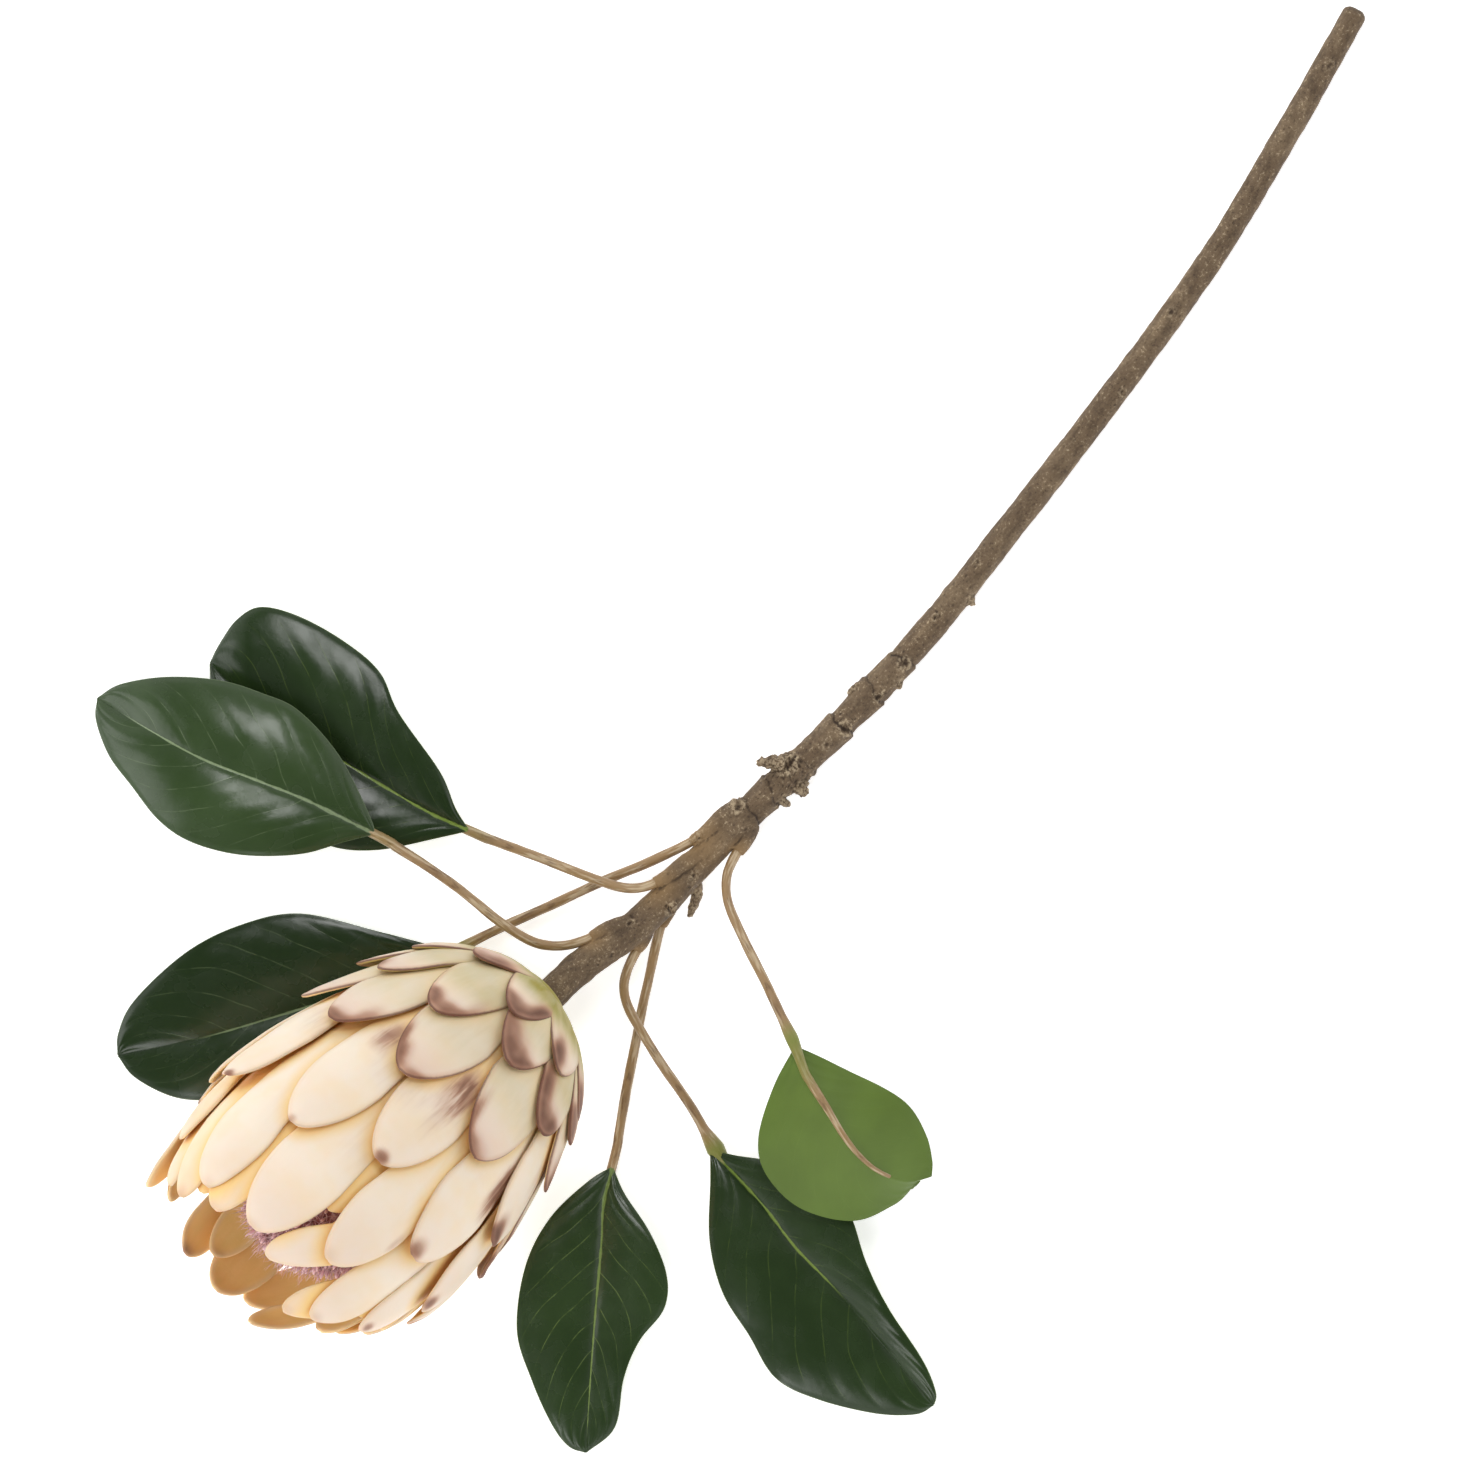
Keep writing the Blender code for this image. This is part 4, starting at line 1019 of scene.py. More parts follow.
def scar_relief(run, around):
    """Height of the ring scars' steps, and the crack beside each, which sets its groove and its painted
    shade, at points of the stem.
    """
    step = np.zeros_like(run)
    crack = np.zeros_like(run)
    for index, (centre, ridge, reach, lean, dark) in enumerate(RING_SCARS):
        jagged = 0.5 * np.sin(3 * around + 2 * index) + 0.3 * np.sin(7 * around + 5 * index)
        behind = run - (centre + lean * np.sin(around + index) + jagged)
        steep_side = np.exp(-((behind / SCAR_EDGE) ** 2))
        step += ridge * np.where(behind < 0, np.exp(behind / reach), steep_side)
        patchy = 0.55 + 0.45 * np.sin(2 * around + 1.7 * index)
        crack += dark * patchy * np.exp(-(((behind - CRACK_OFFSET) / CRACK_WIDTH) ** 2))
    return step, crack


def pit_relief(straight):
    """Depth of the small pits and the height of their crumbled rims at points of the stem."""
    pit = np.zeros(len(straight))
    rim = np.zeros(len(straight))
    wobble = 0.45 * grain_at(straight, 0.8, 2)
    for along, aside, radius, depth in PITS:
        away = np.hypot(0.7 * (straight[:, 2] - along), straight[:, 0] - aside) + wobble
        away = np.where(straight[:, 1] > 0, away, FAR_AWAY)
        pit += 0.5 * depth * np.exp(-((away / (0.5 * radius)) ** 2))
        rim += 0.7 * depth * np.exp(-(((away - radius) / (0.4 * radius)) ** 2))
    return pit, rim


def hollowness(piece, points, normals, rounds=4):
    """How far each point lies under the mean of the points around it."""
    ends = np.empty(len(piece.data.edges) * 2, np.int32)
    piece.data.edges.foreach_get("vertices", ends)
    first, second = ends.reshape(-1, 2).T
    count = len(points)
    neighbours = np.bincount(first, minlength=count) + np.bincount(second, minlength=count)
    mean = points.copy()
    for _ in range(rounds):
        sums = [
            np.bincount(first, mean[second, axis], count) + np.bincount(second, mean[first, axis], count)
            for axis in range(3)
        ]
        mean = np.array(sums).T / neighbours[:, None]
    return ((mean - points) * normals).sum(axis=1)


def build_stem(settings):
    """Fuses the bar, the sheaths and the stubs, then carves the bark into the skin."""
    parts = [tube("stem_bar", stem_line(), 24)]
    parts += [tube(f"sheath_{number}", sheath_line(number), 14) for number in STALKS]
    parts += [tube(f"stub_{index}", smooth_line(stub, 4), 10) for index, stub in enumerate(STUBS)]
    piece = join("bark", parts)
    remesh = piece.modifiers.new("Skin", "REMESH")
    remesh.mode = "VOXEL"
    remesh.voxel_size = settings.grain
    soften = piece.modifiers.new("Soften", "SMOOTH")
    soften.iterations = 6
    apply_modifiers(piece)
    points, normals = points_of(piece), normals_of(piece)
    line = smooth_line(STEM_ROUTE, 12)
    straight = straighten(points, line)
    run, around = straight[:, 2], np.arctan2(straight[:, 1], straight[:, 0])
    step, crack = scar_relief(run, around)
    crack *= eased(0.65 + 1.4 * grain_at(points, 0.3, 2))
    pit, rim = pit_relief(straight)
    sheath = np.zeros(len(points))
    for number, stalk in STALKS.items():
        away = np.linalg.norm(points - sheath_line(number)[-1, :3], axis=1)
        sheath = np.maximum(sheath, eased(1 - away / (0.6 * stalk["sheath"])))
    crumbs = rim.copy()
    for stub in STUBS:
        for x, y, z, radius in stub[1:]:
            away = np.linalg.norm(points - (x, y, z), axis=1)
            crumbs = np.maximum(crumbs, 0.9 * np.exp(-((away / (1.3 * radius)) ** 2)))
    knot = np.exp(-(((run - KNOT) / KNOT_LENGTH) ** 2))
    rough = eased((SMOOTH_FROM - run) / SMOOTHING_LENGTH)
    furrows = grain_at(straight * (1.0, 1.0, 0.3), 0.55, 4)
    lumps = grain_at(straight * (1.0, 1.0, 0.5), 0.14, 3)
    clods = grain_at(points, 0.5, 4)
    rise = step * rough.clip(0.5, 1) - 0.5 * crack - pit + rim
    rise += settings.bark_depth / MM * (furrows + (1.0 + 1.2 * rough) * lumps)
    rise += (0.8 * knot + 1.1 * crumbs) * clods
    points += normals * rise[:, None]
    points[:, 2] = np.maximum(points[:, 2], 0.0)
    move_points(piece, points)
    # Painted shade: the bark is darkened in its cracks, in its pits and in the hollows of the mesh, and its
    # cut end is stained darker.
    hollow = hollowness(piece, points, normals_of(piece))
    cut_end = eased((run - run_of(line)[-1] + CUT_END_STAIN) / CUT_END_STAIN) * 0.45
    dark = 0.85 * crack + 0.7 * pit + eased((hollow - 0.02) / 0.16) * 0.8 + cut_end
    note(
        piece,
        straight=straight * MM,
        crack=np.clip(dark, 0, 0.92),
        sheath=sheath * 0.8,
        crumbs=np.clip(crumbs, 0, 1) * 0.8,
    )
    return piece


def stalk_line(number):
    """A leaf stalk from its sheath to the foot of the blade, and on as the blade's rib."""
    stalk, leaf = STALKS[number], LEAVES[number]
    route = stalk_route(number)
    reach = run_of(route)[-1]
    route = at_run(route, np.arange(stalk["sheath"] - STALK_IN_SHEATH, reach, 1.0))
    middle = smooth_line(leaf["middle"], 8)
    along = run_of(middle)[-1] * leaf["rib"]
    rib = at_run(middle, np.arange(RIB_START * run_of(middle)[-1] * leaf["rib"], along, 1.0))
    radius = np.linspace(STALK_RADIUS, RIB_TIP_RADIUS, len(rib))
    side = 1.0 if number == TURNED_LEAF else -1.0
    rib[:, 2] += side * (BLADE_THICKNESS / 2 + (0.55 if number == TURNED_LEAF else 1.0) * radius)
    line = np.vstack([
        np.column_stack([route, np.full(len(route), STALK_RADIUS)]),
        np.column_stack([rib, radius]),
    ])
    line = smooth_line(line[::4], 4)
    foot = run_of(line)[len(route) - 2]
    return line, foot


def build_stalk(number):
    stalk = STALKS[number]
    line, foot = stalk_line(number)
    run = run_of(line)
    swelling = stalk["swelling"] * np.exp(-(((run - foot) / SWELLING_LENGTH) ** 2))
    line[:, 3] *= 1 + 0.7 * swelling + 0.03 * np.sin(run * 0.21 + number) * np.sin(run * 0.09)
    piece = tube(f"leaf_stalk_{number}", line, 16)
    points = points_of(piece)
    straight = straighten(points, line)
    rise = 0.14 * grain_at(straight * (1.0, 1.0, 0.25) + number * 50.0, 0.4, 3)
    move_points(piece, points + normals_of(piece) * rise[:, None])
    past_foot = straight[:, 2] - foot
    green = eased(1 - np.abs(past_foot - 2.0) / GREEN_REACH)
    if number == TURNED_LEAF:
        on_blade = eased(past_foot / 4.0) * eased((GREEN_ON_BLADE - past_foot) / GREEN_FADE)
        green = np.maximum(green, 0.7 * on_blade)
    note(piece, straight=straight * MM, green=stalk["green"] * green)
    return piece


def leaf_surface(number, rows, columns, groove, quilting):
    """The middle surface of a blade, with what the finish needs to know at each point."""
    leaf = LEAVES[number]
    foot, tip = leaf["middle"][0], leaf["middle"][-1]
    middle = smooth_line(leaf["middle"], 8)
    edges = [smooth_line((foot, *leaf[side], tip), 8) for side in ("left", "right")]
    v = 0.006 + 0.992 * np.sin(np.linspace(0, 1, rows) * math.pi / 2) ** 1.15
    left, centre, right = [at_run(line, v * run_of(line)[-1]) for line in (edges[0], middle, edges[1])]
    t = np.linspace(-1, 1, columns)
    past_dense = (np.abs(t) - DENSE_SHARE).clip(0) / (1 - DENSE_SHARE)
    outer = DENSE_WIDTH + (1 - DENSE_WIDTH) * np.sin(past_dense * math.pi / 2) ** 0.9
    inner = np.abs(t) * DENSE_WIDTH / DENSE_SHARE
    u = np.sign(t) * np.where(np.abs(t) < DENSE_SHARE, inner, outer)
    on_left = u < 0
    edge = np.where(on_left[None, :, None], left[:, None], right[:, None])
    grid = centre[:, None] + (edge - centre[:, None]) * np.abs(u)[None, :, None]
    half = np.linalg.norm(edge - centre[:, None], axis=2)
    from_mid = np.abs(u)[None, :] * half
    along = np.broadcast_to(v[:, None], from_mid.shape)
    normals = surface_normals(grid)
    normals *= np.sign(normals[..., 2:3])
    flip = -1.0 if number == TURNED_LEAF else 1.0
    share = np.abs(u)[None, :]
    phase = SIDE_VEINS * (along - VEIN_SLANT * share**1.15) + 0.5 * on_left + 0.3 * number
    strength, number_of_waves = leaf["waves"]
    rise = leaf["bulge"] * 4 * share * (1 - share) * np.clip(half / WHOLE_BULGE, 0, 1)
    rise = rise - flip * (groove / MM) * np.exp(-((from_mid / GROOVE_WIDTH) ** 2)) * eased(1.1 - along)
    between_veins = 1 - np.abs(np.cos(math.pi * phase)) ** 6
    rise = rise + flip * (quilting / MM) * between_veins * np.sin(math.pi * share) ** 0.7
    wave = np.sin(2 * math.pi * (number_of_waves * along + 0.31 * number) + 1.9 * on_left)
    rise = rise + strength * wave * share**2.5 * np.sin(math.pi * along) ** 0.5
    grid = grid + normals * rise[..., None]
    from_edge = np.minimum((1 - share) * half, (1 - along) * run_of(middle)[-1])
    return grid, dict(from_mid=from_mid, from_edge=from_edge, vein_phase=phase, along=along)


def build_leaf(number, settings):
    leaf = LEAVES[number]
    grid, facts = leaf_surface(number, settings.rows, settings.columns, settings.groove, settings.quilting)
    piece = sheet(f"leaf_{number}", grid)
    from_mid, from_edge, along = facts["from_mid"], facts["from_edge"], facts["along"]
    thicken(piece, BLADE_THICKNESS, EDGE_SHARE + (1 - EDGE_SHARE) * eased(from_edge / THIN_EDGE))
    side = np.where(np.arange(grid.shape[1]) < grid.shape[1] // 2, -1.0, 1.0)[None, :]
    own = np.full_like(along, number * 37.0)
    back = second_face(piece)
    first_is_up = normals_of(piece)[back < 0.5, 2].mean() > 0
    note(piece, pale_side=back if first_is_up != (number == TURNED_LEAF) else 1 - back)
    note_on_sheet(
        piece,
        straight=np.stack([side * from_mid, along * 120.0, own], axis=2) * MM,
        slanted=np.stack([facts["vein_phase"] * 13.0, from_mid, own + 9.0 * side], axis=2) * MM,
        line_tint=leaf["line_tint"],
        lightness=leaf["lightness"],
        from_mid=from_mid,
        from_edge=from_edge,
        vein_phase=facts["vein_phase"],
        vein_strength=leaf["veins"] * (eased(from_edge / 9.0) * eased((0.97 - along) / 0.1)),
        line_width=0.75 * (1 - along) + 0.22,
        line_strength=leaf["line"] * eased((leaf["line_reach"] - along) / 0.12),
    )
    return piece


def envelope(height):
    """Radius of the head's outer shape at a height along its axis."""
    heights, radii = smooth_line(ENVELOPE, 8).T
    return np.interp(height, heights, radii)


def bract_middle(ring, tip, flare):
    """Middle line of a bract from tip to foot: distance from the tip, height and radius."""
    height = np.linspace(tip, ring["foot"], 160)
    below = tip - height
    radius = envelope(height) - SHINGLE * below - ring["depth"] + flare * np.exp(-below / TIP_REACH)
    distance = np.concatenate([[0.0], np.cumsum(np.hypot(np.diff(height), np.diff(radius)))])
    return distance, height, radius


def bract_half_width(distance, width, length, rounded):
    """Half width of a bract at distances from its tip, with an end rounded over its first part."""
    near = np.clip(distance / rounded, 0, 1)
    end = (1 - (1 - near) ** 1.9) ** 0.56
    waist = 1 - WAIST * np.clip((distance - rounded) / (length - rounded), 0, 1)
    return width / 2 * end * waist


def outline_distance(across, down, outline):
    """Distance of flat points from an outline, below 0 inside it."""
    start, step = outline, np.roll(outline, -1, axis=0) - outline
    points = np.stack([across, down], axis=-1).reshape(-1, 1, 2)
    share = ((points - start) * step).sum(axis=2) / np.maximum((step**2).sum(axis=1), 1e-9)
    nearest = start + np.clip(share, 0, 1)[..., None] * step
    away = np.linalg.norm(points - nearest, axis=2).min(axis=1)
    half = np.interp(points[:, 0, 1], outline[: len(outline) // 2, 1], outline[: len(outline) // 2, 0])
    inside = (np.abs(points[:, 0, 0]) < half) & (points[:, 0, 1] > 0)
    return np.where(inside, -away, away).reshape(across.shape)


def bract_plan(spot, settings):
    """Where a bract stands, its middle line, and the rows and half widths of its outline."""
    ring = RINGS[spot[0]]
    turn, rise, flare = ODD_BRACTS.get(spot, (0.0, 0.0, 0.0))
    azimuth = math.radians(ring["turn"] + turn + 360.0 / BRACTS_IN_RING * spot[1])
    middle = bract_middle(ring, ring["tip"] + rise, ring["flare"] + flare)
    width = ring["width"] * OWN_WIDTHS.get(spot, 1.0)
    length = middle[0][-1]
    rounded = min(width * ROUNDED_END, 0.8 * length)
    tip_rows = rounded * (1 - np.cos(np.linspace(0.09, 1, settings.tip_rows) * math.pi / 2))
    body_rows = np.linspace(rounded, length, settings.body_rows + 1)[1:]
    rows = np.concatenate([tip_rows, body_rows])
    half = bract_half_width(rows, width, length, rounded)
    return azimuth, middle, rows, half


def outline_of(rows, half):
    """The closed outline of a flat bract, down its right side and back up its left."""
    return np.concatenate([np.column_stack([half, rows]), np.column_stack([-half, rows])[::-1]])


def sunk(ring_number, tip):
    """How deep a bract of a ring lies with its tip at this height, compared with its neighbours."""
    return RINGS[ring_number]["depth"] + SHINGLE * tip


def cover_distance(ring_number, azimuth, height, radius, tip, settings):
    """Distance of points of a bract from the bracts that cover it, below 0 where one does."""
    nearest = np.full(height.shape, UNCOVERED)
    for outer in range(max(ring_number - 3, 0), ring_number):
        for place_in_ring in range(BRACTS_IN_RING):
            centre, (distance, heights, _), rows, half = bract_plan((outer, place_in_ring), settings)
            turn = (azimuth - centre + math.pi) % (2 * math.pi) - math.pi
            if np.abs(turn).min() > COVER_REACH or sunk(outer, heights[0]) > sunk(ring_number, tip):
                continue
            down = np.interp(-height, -heights, distance) - np.maximum(height - heights[0], 0)
            nearest = np.minimum(nearest, outline_distance(turn * radius, down, outline_of(rows, half)[::2]))
    return nearest


def blots(marks, across, down):
    """How strongly soft oval marks colour flat points."""
    share = np.zeros_like(across)
    for middle, below, half_width, half_length, strength in marks:
        away = np.hypot((across - middle) / half_width, (down - below) / half_length)
        share = 1 - (1 - share) * (1 - strength * eased(1.15 - 0.7 * away))
    return share


def bract_surface(spot, settings, chance):
    """The middle surface of a bract in the head's frame, and its points' places on the flat bract."""
    ring = RINGS[spot[0]]
    azimuth, (distance, height, radius), rows, half = bract_plan(spot, settings)
    t = np.linspace(-1, 1, settings.columns)
    u = np.sin(t * TIP_SPREAD) / math.sin(TIP_SPREAD)
    across = half[:, None] * u
    down = np.broadcast_to(rows[:, None], across.shape)
    edge = -outline_distance(across, down, outline_of(rows, half)).clip(max=0)
    h = np.interp(rows, distance, height)[:, None]
    r = np.interp(rows, distance, radius)[:, None]
    bend = CURL * r
    angle = across / bend
    lean, ripple = chance.uniform(-1, 1), chance.uniform(0, 2 * math.pi)
    out = r - bend * (1 - np.cos(angle))
    out = out + 0.9 * (1 - u**2) * eased(rows / 9.0)[:, None]
    out = out + 0.3 * ring["rim"] * np.exp(-edge / 1.2)
    out = out + 0.9 * ring["spot"] * np.exp(-(np.hypot(across, down - 1.5) / 3.2) ** 2)
    out = out + 0.3 * np.sin(rows * 0.2 + ripple)[:, None] * np.abs(u) ** 3 * np.sign(u + 1e-9)
    out = out + 0.5 * lean * u * eased(1 - rows / 50.0)[:, None]
    leaning = math.radians(LEANING.get(spot, 0.0))
    azimuth = azimuth + leaning * np.minimum(rows, LEAN_REACH)[:, None]
    outwards = np.stack([np.sin(azimuth), -np.cos(azimuth), 0 * azimuth], axis=2)
    aside = np.stack([np.cos(azimuth), np.sin(azimuth), 0 * azimuth], axis=2)
    sideways = bend * np.sin(angle)
    grid = out[..., None] * outwards + sideways[..., None] * aside
    grid[..., 2] += h
    around = azimuth + np.arctan2(sideways, out)
    heights = np.broadcast_to(h, across.shape)
    cover = cover_distance(spot[0], around, heights, np.hypot(out, sideways), height[0], settings)
    return grid, dict(u=u, across=across, down=down, edge=edge, cover=cover, lean=lean)


def bract_facts(spot, chance, u, across, down, edge, cover, lean):
    """What the finish needs to know at each point of a bract."""
    ring = RINGS[spot[0]]
    shown = down / ring["shows"]
    darker_side = 0.5 - 0.5 * np.tanh((across + 3.0 * lean) / (0.22 * ring["width"]))
    strength = chance.uniform(0.6, 1.0)
    tip_share = eased(1.15 - shown * 1.4 - 0.3 * (1 - darker_side))
    near_edge = np.exp(-edge / 7.0)
    blush = ring["blush"] * strength * tip_share * (0.2 + 0.8 * darker_side) * (0.4 + 0.6 * near_edge)
    if spot in BLOTS:
        blush = 0.25 * blush + blots(BLOTS[spot], across, down) * (0.4 + 0.75 * near_edge)
    else:
        blush = blush + 0.8 * ring["spot"] * eased(1.5 - np.hypot(across, down - 1.8) / 3.4)
    streak_side = eased(0.65 - 1.1 * u * (1.0 if chance.uniform() < 0.85 else -1.0))
    patch = eased(1.15 - np.abs(cover - 2.0) / 15.0) * eased(cover + 2.0)
    streaks = ring["streaks"] * chance.uniform(0.3, 1.0) * streak_side * patch
    if spot in STREAKS:
        streaks = np.maximum(0.3 * streaks, blots(STREAKS[spot], across, down))
    else:
        streaks = 0.6 * streaks
    return dict(
        from_edge=edge,
        from_cover=cover,
        rim=ring["rim"] * eased(1.6 - shown),
        blush=np.clip(1.1 * blush, 0, 0.95),
        flush=ring["flush"] * eased(1.1 - shown * 1.3),
        green=ring["green"] * eased((shown - 0.3) * 1.6),
        yellow=YELLOWER.get(spot, ring["yellow"]),
        olive=ring["olive"],
        streaks=streaks,
        straight=np.stack([across, down, np.full_like(edge, 100.0 * chance.uniform())], axis=2) * MM,
    )


def build_bracts(ring_number, settings):
    chance = np.random.default_rng(100 + ring_number)
    matrix = np.array(head_matrix())
    pieces = []
    for place_in_ring in range(BRACTS_IN_RING):
        spot = (ring_number, place_in_ring)
        grid, flat = bract_surface(spot, settings, chance)
        facts = bract_facts(spot, chance, **flat)
        grid = grid @ matrix[:3, :3].T + matrix[:3, 3] / MM
        grid[..., 2] = np.maximum(grid[..., 2], LOWEST)
        piece = sheet(f"bract_{ring_number}_{place_in_ring}", grid)
        inward = np.clip(facts["from_edge"] / THIN_RIM, 0, 1)
        share = RIM_SHARE + (1 - RIM_SHARE) * np.sqrt(1 - (1 - inward) ** 2)
        thicken(piece, settings.thickness / MM, share)
        note_on_sheet(piece, **facts)
        note(piece, back=1 - second_face(piece))
        pieces.append(piece)
    return join(f"bracts_{ring_number + 1}", pieces)


def turned(name, profile, steps):
    """A closed solid turned about the head's axis from a profile of height and radius, by a spin."""
    mesh = bpy.data.meshes.new(name)
    lengths = [(i, i + 1) for i in range(len(profile) - 1)]
    mesh.from_pydata([(r * MM, 0.0, h * MM) for h, r in profile], lengths, [])
    piece = new_piece(name, mesh)
    bpy.ops.object.mode_set(mode="EDIT")
    bpy.ops.mesh.select_all(action="SELECT")
    bpy.ops.mesh.spin(steps=steps, angle=2 * math.pi, center=(0, 0, 0), axis=(0, 0, 1))
    bpy.ops.mesh.select_all(action="SELECT")
    bpy.ops.mesh.remove_doubles(threshold=1e-6)
    bpy.ops.mesh.normals_make_consistent(inside=False)
    bpy.ops.object.mode_set(mode="OBJECT")
    return piece


def dome_place(share):
    """Height, radius and outward tilt of the dome's skin, at a share of the way from its rim to its apex."""
    line = smooth_line(DOME, 8)
    run = run_of(line)
    height, radius = at_run(line, share * run[-1]).T
    slope = np.gradient(line, axis=0)
    tilt_h = np.interp(share * run[-1], run, -slope[:, 1])
    tilt_r = np.interp(share * run[-1], run, slope[:, 0])
    length = np.hypot(tilt_h, tilt_r)
    return height, radius, tilt_h / length, tilt_r / length


def dome_spots(count, chance):
    """Even spots over the dome in the head's frame, in millimetres, with the way they point."""
    share = np.linspace(0, 1, 400)
    height, radius, _, _ = dome_place(share)
    area = np.cumsum(np.maximum(radius, 0.3))
    order = (np.arange(count) + 0.5) / count
    share = np.interp(order * area[-1], area, share)
    height, radius, tilt_h, tilt_r = dome_place(share)
    angle = np.arange(count) * GOLDEN_ANGLE + chance.uniform(-0.05, 0.05, count)
    spots = np.column_stack([radius * np.cos(angle), radius * np.sin(angle), height])
    ways = np.column_stack([tilt_r * np.cos(angle), tilt_r * np.sin(angle), tilt_h])
    return spots, unit(ways + (0.0, 0.0, 0.9))


def rods(name, spots, ways, lengths, radii, bends, stations, sides):
    """Many closed tapered rods as one mesh, each bent towards its own direction."""
    stations = np.asarray(stations, float)
    swell = np.interp(stations, (0, 0.55, 0.85, 1.0), (0.75, 0.8, 1.0, 0.15))
    beside = unit(np.cross(ways, (0.31, 0.17, 0.93)))
    above = np.cross(ways, beside)
    turn = np.arange(sides) * 2 * math.pi / sides
    ring = np.cos(turn)[:, None, None] * beside + np.sin(turn)[:, None, None] * above
    count, levels = len(spots), len(stations)
    middle = spots[:, None] + ways[:, None] * (stations[None, :, None] * lengths[:, None, None])
    middle = middle + bends[:, None] * (stations[None, :, None] ** 2)
    wall = middle[:, :, None] + ring.transpose(1, 0, 2)[:, None] * (radii[:, None] * swell)[:, :, None, None]
    points = wall.reshape(-1, 3)
    base = np.arange(count)[:, None, None] * levels * sides
    level, side = np.arange(levels - 1)[None, :, None] * sides, np.arange(sides)[None, None, :]
    after = (side + 1) % sides
    corners = ((0, side), (0, after), (sides, after), (sides, side))
    faces = np.stack([base + level + up + way for up, way in corners], axis=3).reshape(-1, 4).tolist()
    faces += (base[:, 0] + np.arange(sides)[::-1]).tolist()
    faces += (base[:, 0] + (levels - 1) * sides + np.arange(sides)).tolist()
    mesh = bpy.data.meshes.new(name)
    mesh.from_pydata((points * MM).tolist(), [], faces)
    piece = new_piece(name, mesh)
    piece.matrix_world = head_matrix()
    note(piece, along=np.broadcast_to(stations[None, :, None], (count, levels, sides)).ravel())
    return piece


def build_florets(settings):
    """The dome, the slender florets that cover it, and the fine curled hairs between them."""
    chance = np.random.default_rng(7)
    dome = turned("floret_dome", ((DOME[0][0], 0.0), *DOME), 48)
    dome.matrix_world = head_matrix()
    note(dome, along=0.1)
    spots, ways = dome_spots(settings.count, chance)
    ways = unit(ways + chance.normal(0, 0.12, ways.shape))
    lengths = chance.uniform(*FLORET_LENGTHS, len(spots))
    radii = chance.uniform(*FLORET_RADII, len(spots))
    bends = chance.normal(0, 0.9, ways.shape)
    stations = (0.0, 0.3, 0.55, 0.75, 0.9, 1.0)
    florets = rods("florets", spots - ways * FLORET_ROOT, ways, lengths, radii, bends, stations, 6)
    spots, ways = dome_spots(settings.hairs, chance)
    ways = unit(ways + chance.normal(0, 0.5, ways.shape))
    lengths = chance.uniform(*HAIR_LENGTHS, len(spots))
    radii = np.full(len(spots), HAIR_RADIUS)
    bends = chance.normal(0, 2.2, ways.shape)
    hairs = rods("floret_hairs", spots, ways, lengths, radii, bends, (0.0, 0.25, 0.5, 0.75, 1.0), 3)
    return dome, florets, hairs


class PROTEA_OT_stem(Operator):
    """Model the stem with its sheaths, stubs, ring scars and bark"""

    bl_idname = "protea.stem"
    bl_label = "Barked Stem"

    def execute(self, context):
        settings = context.scene.protea_stem
        place(build_stem(settings), bark_finish(settings), "bark", "stem")
        return {"FINISHED"}


class PROTEA_OT_stalks(Operator):
    """Model the leaf stalks, each running on as the rib of its blade"""

    bl_idname = "protea.stalks"
    bl_label = "Leaf Stalks"

    def execute(self, context):
        material = stalk_finish(context.scene.protea_stem)
        for number in STALKS:
            place(build_stalk(number), material, "stalk", f"petiole_{number}")
        return {"FINISHED"}


class PROTEA_OT_leaves(Operator):
    """Model the leaf blades with their ribs, veins and waved margins"""

    bl_idname = "protea.leaves"
    bl_label = "Leaf Blades"

    def execute(self, context):
        settings = context.scene.protea_leaf
        material = leaf_finish(settings)
        for number in LEAVES:
            slot = "leaf_lower" if number == TURNED_LEAF else "leaf_upper"
            place(build_leaf(number, settings), material, slot, f"leaf_blade_{number}")
        return {"FINISHED"}


class PROTEA_OT_bracts(Operator):
    """Model the receptacle and the rings of bracts"""

    bl_idname = "protea.bracts"
    bl_label = "Rings of Bracts"

    def execute(self, context):
        settings = context.scene.protea_bract
        material = bract_finish(settings)
        core = turned("receptacle", RECEPTACLE, 64)
        core.matrix_world = head_matrix()
        green = eased((GREEN_FOOT - points_of(core)[:, 2]) / 8.0)
        # Counted as covered all over, the receptacle takes the yellow and the deep tint that paint glow and
        # shade between the bracts.
        note(core, green=green, yellow=1 - green, from_edge=20.0, from_cover=-9.0)
        place(core, material, "bract", "bloom")
        for ring_number in range(len(RINGS)):
            place(build_bracts(ring_number, settings), material, "bract", "bloom")
        return {"FINISHED"}


class PROTEA_OT_florets(Operator):
    """Model the dome of fuzzy florets in the mouth of the head"""

    bl_idname = "protea.florets"
    bl_label = "Florets"

    def execute(self, context):
        settings = context.scene.protea_floret
        material = floret_finish(settings)
        for piece in build_florets(settings):
            place(piece, material, "florets", "flower_mass")
        return {"FINISHED"}


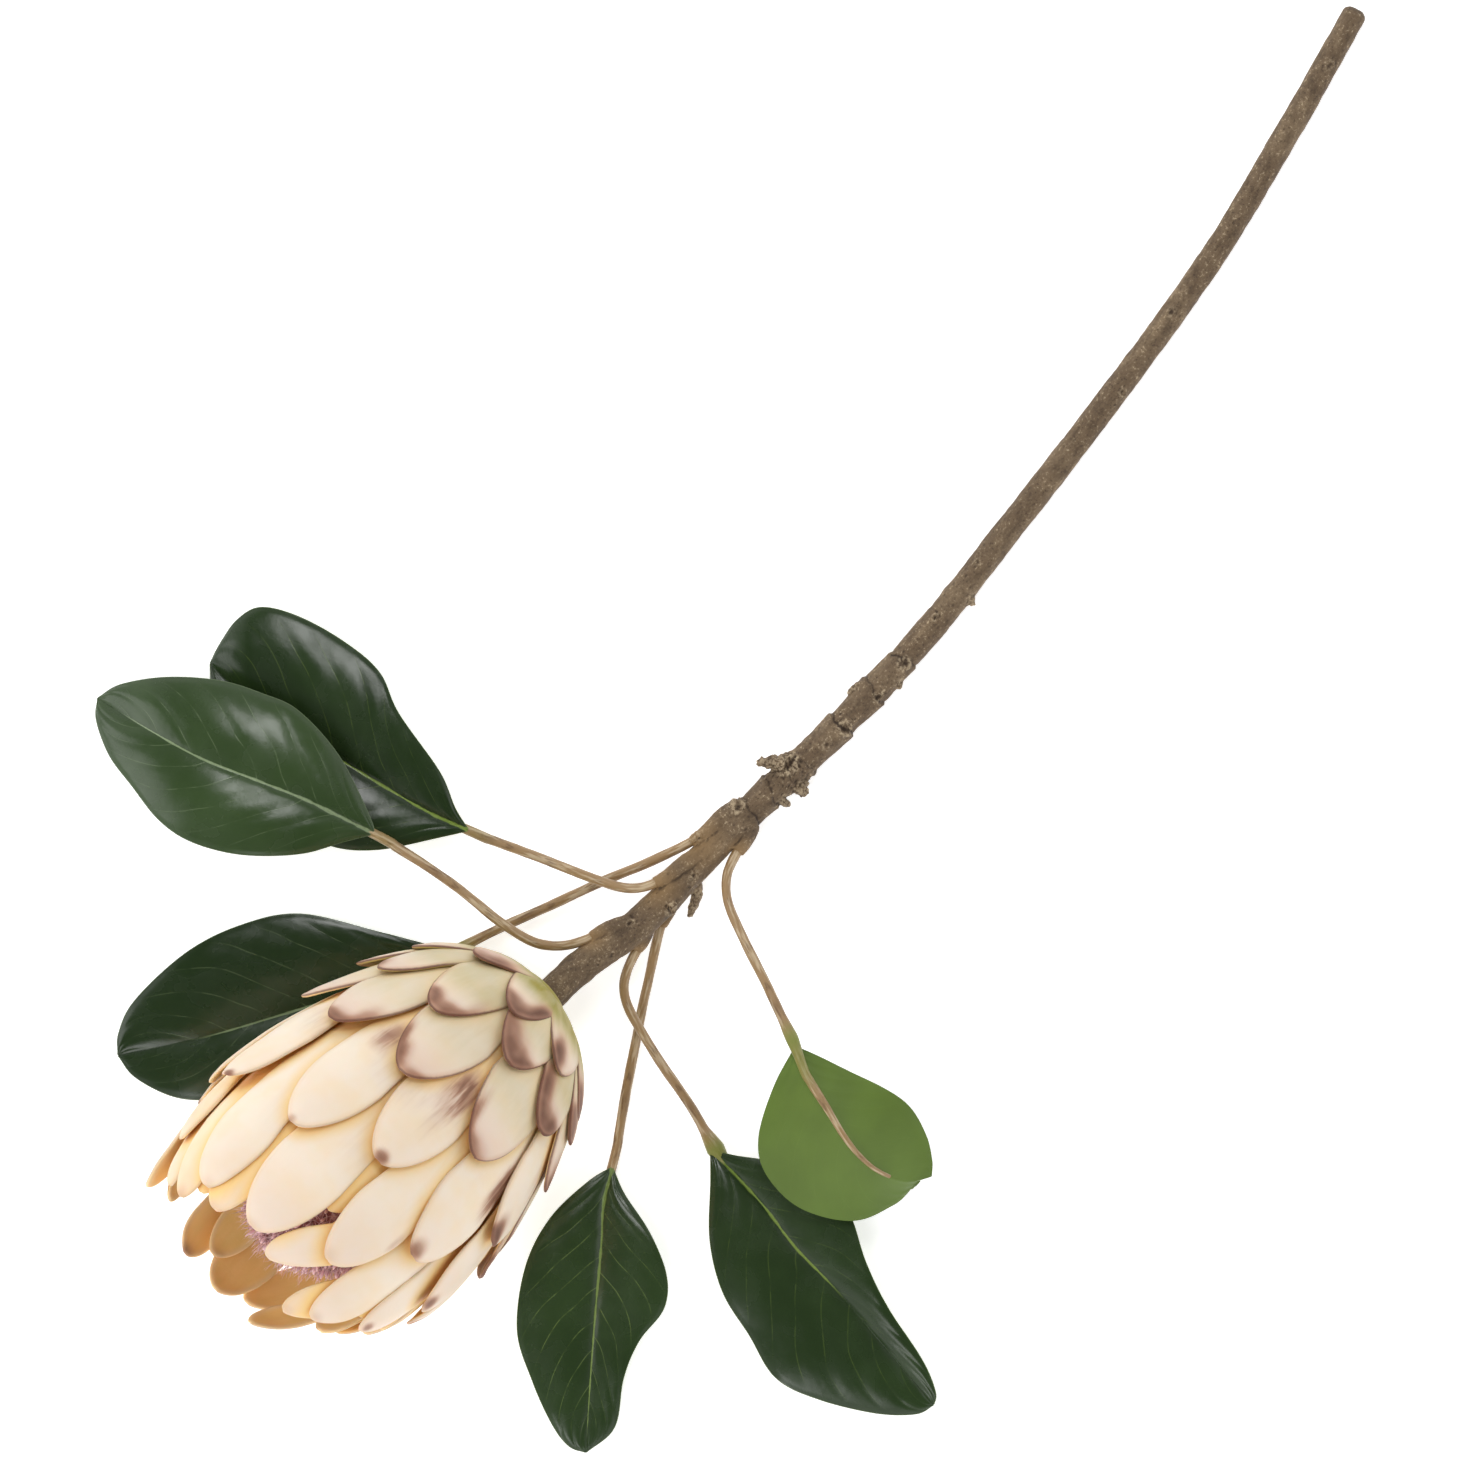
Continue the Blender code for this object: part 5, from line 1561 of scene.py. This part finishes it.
class PROTEA_OT_stage(Operator):
    """Set the floor, the soft lights and the camera"""

    bl_idname = "protea.stage"
    bl_label = "Stage"

    def execute(self, context):
        settings = context.scene.protea_stage
        scene = context.scene
        scene.view_settings.view_transform = "Standard"
        bpy.ops.object.select_all(action="DESELECT")
        bpy.ops.mesh.primitive_plane_add(size=settings.floor_size)
        floor = context.active_object
        floor.name = "floor"
        floor.data.materials.append(floor_finish(settings))
        scene.world = studio_walls(settings)
        for name, (heading, height, size, gives_highlights) in LIGHTS.items():
            turn, rise = math.radians(heading), math.radians(height)
            spot = Vector((math.cos(rise) * math.cos(turn), math.cos(rise) * math.sin(turn), math.sin(rise)))
            spot *= settings.light_distance
            bpy.ops.object.light_add(type="AREA", location=spot)
            light = context.active_object
            light.name = name
            light.data.energy = getattr(settings, name)
            light.data.size = size
            light.rotation_euler = (-spot).to_track_quat("-Z", "Y").to_euler()
            light.visible_camera = False
            light.visible_glossy = gives_highlights
        bpy.ops.object.camera_add(location=CAMERA_PLACE, rotation=(0.0, 0.0, CAMERA_TURN))
        camera = context.active_object
        camera.data.lens = CAMERA_LENS
        camera.data.sensor_width = SENSOR
        scene.camera = camera
        return {"FINISHED"}


class PROTEA_PT_panel(Panel):
    """Lists the pieces of the stem with their settings"""

    bl_idname = "PROTEA_PT_panel"
    bl_label = "Cut Protea Stem"
    bl_space_type = "VIEW_3D"
    bl_region_type = "UI"
    bl_category = "Protea"

    def draw(self, context):
        for owner, (_, operators) in SECTIONS.items():
            box = self.layout.box()
            settings = getattr(context.scene, owner)
            for name in settings.__annotations__:
                box.prop(settings, name)
            for operator in operators:
                box.operator(operator)


SECTIONS = {
    "protea_stem": (StemSettings, ("protea.stem", "protea.stalks")),
    "protea_leaf": (LeafSettings, ("protea.leaves",)),
    "protea_bract": (BractSettings, ("protea.bracts",)),
    "protea_floret": (FloretSettings, ("protea.florets",)),
    "protea_stage": (StageSettings, ("protea.stage",)),
}
OPERATORS = (
    PROTEA_OT_stem,
    PROTEA_OT_stalks,
    PROTEA_OT_leaves,
    PROTEA_OT_bracts,
    PROTEA_OT_florets,
    PROTEA_OT_stage,
)


def register():
    for name, (group, _) in SECTIONS.items():
        bpy.utils.register_class(group)
        setattr(bpy.types.Scene, name, PointerProperty(type=group))
    for operator in OPERATORS:
        bpy.utils.register_class(operator)
    bpy.utils.register_class(PROTEA_PT_panel)


def unregister():
    bpy.utils.unregister_class(PROTEA_PT_panel)
    for operator in reversed(OPERATORS):
        bpy.utils.unregister_class(operator)
    for name, (group, _) in reversed(SECTIONS.items()):
        delattr(bpy.types.Scene, name)
        bpy.utils.unregister_class(group)


def main():
    register()
    bpy.ops.protea.stem()
    bpy.ops.protea.stalks()
    bpy.ops.protea.leaves()
    bpy.ops.protea.bracts()
    bpy.ops.protea.florets()
    bpy.ops.protea.stage()


if __name__ == "__main__":
    main()
